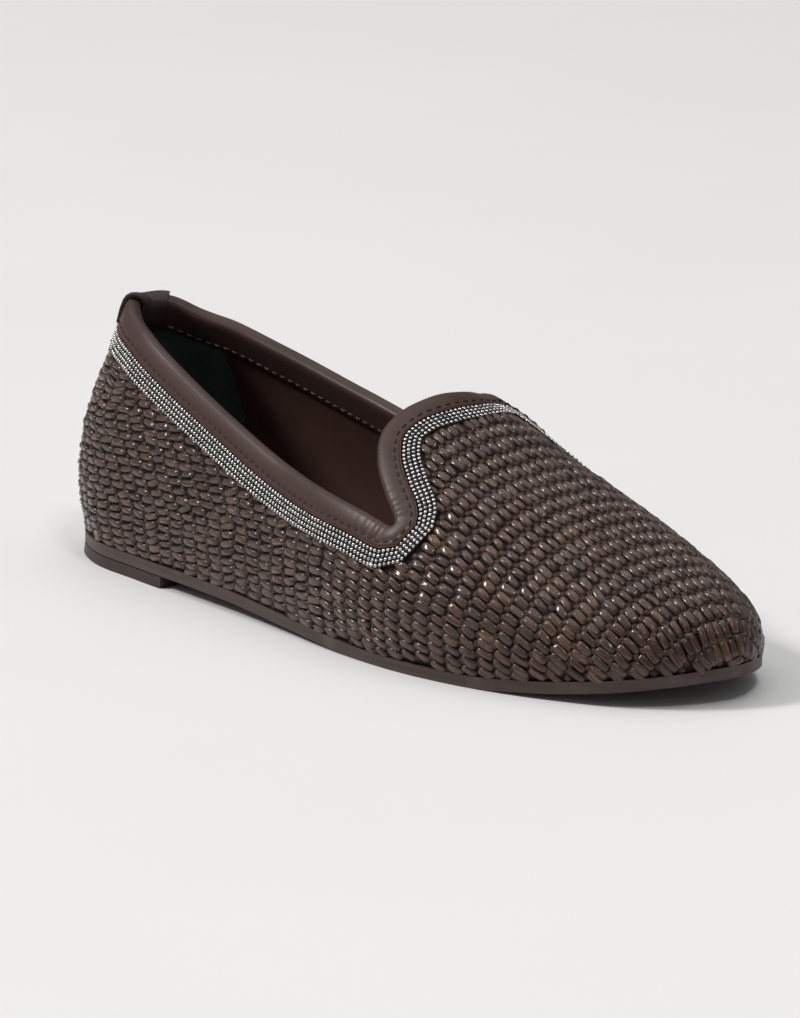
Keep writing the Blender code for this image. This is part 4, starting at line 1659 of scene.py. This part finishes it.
def slab(plan: Plan, rows: int, across: int, low: Height, high: Height, cut: Optional[float] = None,
         flare: float = 0.0) -> tuple[Array, Faces]:
    """Solid between two heights over a plan.

    Args:
        plan: Outline seen from above.
        rows: Steps from the heel to the front end.
        across: Points from side to side.
        low: Height of the underside by station and share of the way across.
        high: Height of the top in the same way.
        cut: Station of a straight front end, if there is one.
        flare: How far the underside of a cut slab stands out at the back.

    Returns:
        Points and faces.
    """
    share = (1 - np.cos(np.linspace(0, np.pi, rows))) / 2
    limit = []
    for edge in (plan.outer, plan.inner):
        run = lengths(edge)
        end = run[-1] if cut is None else np.interp(cut, edge[:, 0], run)
        limit.append(along(edge, share * end if cut is None else np.sin(share * np.pi / 2) * end))
    outer, inner = limit
    size = [1 if i == 0 or (cut is None and i == rows - 1) else across for i in range(rows)]
    start = np.concatenate([[0], np.cumsum(size)])
    half = int(start[-1])
    points = []
    for height in (high, low):
        for i in range(rows):
            for t in [0.5] if size[i] == 1 else np.linspace(0, 1, across):
                x, y = outer[i] * (1 - t) + inner[i] * t
                points.append((x, y, float(height(x, t))))
    points = np.array(points)
    faces: Faces = []
    for i in range(rows - 1):
        a, b = int(start[i]), int(start[i + 1])
        for j in range(across - 1):
            if size[i] == 1:
                top = (a, b + j, b + j + 1)
            elif size[i + 1] == 1:
                top = (a + j, b, a + j + 1)
            else:
                top = (a + j, b + j, b + j + 1, a + j + 1)
            faces.append(top)
            faces.append(tuple(half + v for v in reversed(top)))
        c, d = int(start[i + 1]) - 1, int(start[i + 2]) - 1
        faces.append((a + half, b + half, b, a))
        faces.append((c, d, d + half, c + half))
    if cut is not None:
        a = int(start[rows - 1])
        for j in range(across - 1):
            faces.append((a + j + half, a + j + 1 + half, a + j + 1, a + j))
        away = points[half:, :2] - np.array([cut, 0.0])
        rim = np.minimum(np.linalg.norm(away, axis=1) / cut, 1)
        points[half:, :2] += unit(away) * rim[:, None] * flare
        points[half:, 0] = np.minimum(points[half:, 0], cut)
    return points, faces


@dataclass
class Sole:
    """Insole, thin outsole with arch and toe spring, and low heel."""

    bench: Bench
    last: Last
    gap: float = 0.3
    heel_length: float = 57.5
    heel_lift: float = 3.5
    heel_flare: float = 0.5
    edge_round: float = 0.55
    round_steps: int = 3
    round_angle: float = 0.9
    sharp_angle: float = 0.8
    outsole_grid: tuple[int, int] = (150, 9)
    heel_grid: tuple[int, int] = (60, 9)
    insole_grid: tuple[int, int] = (110, 13)
    insole: float = 1.6
    insole_inset: float = 3.4
    insole_round: float = 0.4
    insole_dish: float = 0.25
    toe_room: float = 2.4
    toe_from: float = 225.0
    toe_run: float = 20.0
    finish: EdgeFinish = EdgeFinish("sole edge", "sole", (0.074, 0.049, 0.043), 0.45)
    heel_finish: EdgeFinish = EdgeFinish("heel edge", "heel_stack", (0.047, 0.031, 0.027), 0.48, lines=1300.0)
    sock: HideFinish = HideFinish("insole leather", "lining", (0.080, 0.043, 0.034), 0.5,
                                  deep=(0.068, 0.037, 0.029), grain=1400.0, coat=0.05)

    def rounded(self, made: Object, width: float) -> None:
        """Rounds the sharp edges of a piece and keeps the result as a plain mesh.

        Args:
            made: The piece.
            width: Width of the rounding.
        """
        bevel = made.modifiers.new("edge_round", "BEVEL")
        bevel.width = width * MM
        bevel.segments = self.round_steps
        bevel.limit_method = "ANGLE"
        bevel.angle_limit = self.round_angle
        self.bench.keep(made, bevel).set_sharp_from_angle(angle=self.sharp_angle)

    def build(self) -> None:
        """Makes the three layers."""
        last, bench = self.last, self.bench
        board = inset(last.loop, self.insole_inset)
        board[:, 0] -= self.toe_room * np.clip((board[:, 0] - self.toe_from) / self.toe_run, 0, 1) ** 2

        def footbed(x: Array, t: float) -> Array:
            """Top of the insole, a little dished."""
            return last.feather(x) + self.gap + self.insole - self.insole_dish * (1 - (2 * t - 1) ** 2)

        insole = slab(Plan(board), *self.insole_grid, lambda x, t: last.feather(x) + self.gap, footbed)
        outsole = slab(last.sole, *self.outsole_grid, lambda x, t: last.underside(x),
                       lambda x, t: last.feather(x))
        heel = slab(last.sole, *self.heel_grid, lambda x, t: 0.0, lambda x, t: self.heel_lift - self.gap,
                    self.heel_length, self.heel_flare)
        layers = (("insole_sock", "insole", insole, self.sock, self.insole_round),
                  ("outsole_leather", "outsole", outsole, self.finish, self.edge_round),
                  ("heel_block", "heel", heel, self.heel_finish, self.edge_round))
        for name, node, solid, finish, edge in layers:
            made = bench.piece(name, *solid, finish.make())
            self.rounded(made, edge)
            bench.hand_over(made, finish.slot, node)


@dataclass(frozen=True)
class Lamp:
    """Soft lamp; its place is metres right of the camera, towards the camera and up."""

    name: str
    place: tuple[float, float, float]
    size: tuple[float, float]
    power: float
    colour: Colour


@dataclass
class Studio:
    """Pale floor, soft light and the camera."""

    azimuth: float = 48.8
    elevation: float = 13.3
    distance: float = 1.565
    lens: float = 203.0
    sensor: float = 36.0
    clip: tuple[float, float] = (0.01, 50.0)
    aim: tuple[float, float, float] = (0.0, 0.0, 0.030)
    floor_size: float = 9.0
    floor_finish: FloorFinish = FloorFinish("pale floor", "floor", (0.87, 0.865, 0.855), 0.55)
    world_colour: Colour = (0.92, 0.93, 0.95)
    world_strength: float = 0.25
    lamps: tuple[Lamp, ...] = (
        Lamp("key", (-4.6, -0.2, 4.4), (1.2, 1.0), 225.0, (1.0, 0.985, 0.96)),
        Lamp("top", (-0.3, -0.6, 3.2), (4.0, 4.0), 46.0, (1.0, 0.99, 0.975)),
        Lamp("fill", (0.5, 1.2, 2.3), (0.45, 0.4), 12.0, (0.97, 0.985, 1.0)))

    def floor(self) -> None:
        """Plain floor with a faint tone."""
        half = self.floor_size / 2
        corners = [(-half, -half, 0.0), (half, -half, 0.0), (half, half, 0.0), (-half, half, 0.0)]
        mesh = bpy.data.meshes.new("floor")
        mesh.from_pydata(corners, [], [(0, 1, 2, 3)])
        made = put("floor", mesh)
        mesh.materials.append(self.floor_finish.make())

    def light(self, lamp: Lamp) -> None:
        """Hangs a lamp and turns it towards the shoe.

        Args:
            lamp: The lamp.
        """
        a = np.radians(self.azimuth)
        right, near = np.array([np.cos(a), np.sin(a)]), np.array([np.sin(a), -np.cos(a)])
        data = bpy.data.lights.new(lamp.name, "AREA")
        data.shape = "RECTANGLE"
        data.size, data.size_y = lamp.size
        data.energy = lamp.power
        data.color = lamp.colour
        made = put(lamp.name, data)
        made.location = (*(right * lamp.place[0] + near * lamp.place[1]), lamp.place[2])
        made.rotation_mode = "QUATERNION"
        made.rotation_quaternion = (Vector(self.aim) - made.location).to_track_quat("-Z", "Y")

    def camera(self) -> None:
        """Camera at the photograph's angle."""
        a, e = np.radians(self.azimuth), np.radians(self.elevation)
        back = Vector((np.sin(a) * np.cos(e), -np.cos(a) * np.cos(e), np.sin(e)))
        data = bpy.data.cameras.new("camera")
        data.sensor_width = self.sensor
        data.lens = self.lens
        data.clip_start, data.clip_end = self.clip
        made = put("camera", data)
        made.location = Vector(self.aim) + back * self.distance
        made.rotation_mode = "QUATERNION"
        made.rotation_quaternion = (-back).to_track_quat("-Z", "Y")
        bpy.context.scene.camera = made

    def build(self) -> None:
        """Sets floor, world, lamps and camera."""
        self.floor()
        world = bpy.data.worlds.new("studio")
        world.use_nodes = True
        sky = world.node_tree.nodes["Background"]
        sky.inputs["Color"].default_value = (*self.world_colour, 1.0)
        sky.inputs["Strength"].default_value = self.world_strength
        bpy.context.scene.world = world
        bpy.context.scene.view_settings.view_transform = "Standard"
        for lamp in self.lamps:
            self.light(lamp)
        self.camera()


def main() -> None:
    """Builds the shoe piece by piece, then the studio."""
    logging.basicConfig(level=logging.INFO, format="%(name)s: %(message)s")
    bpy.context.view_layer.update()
    last = Last()
    pattern = Pattern(last)
    bench = Bench(last)
    for part in (Upper(bench, pattern), Collar(bench, pattern), BeadTrim(bench, pattern), Sole(bench, last)):
        part.build()
    Studio().build()


if __name__ == "__main__":
    main()
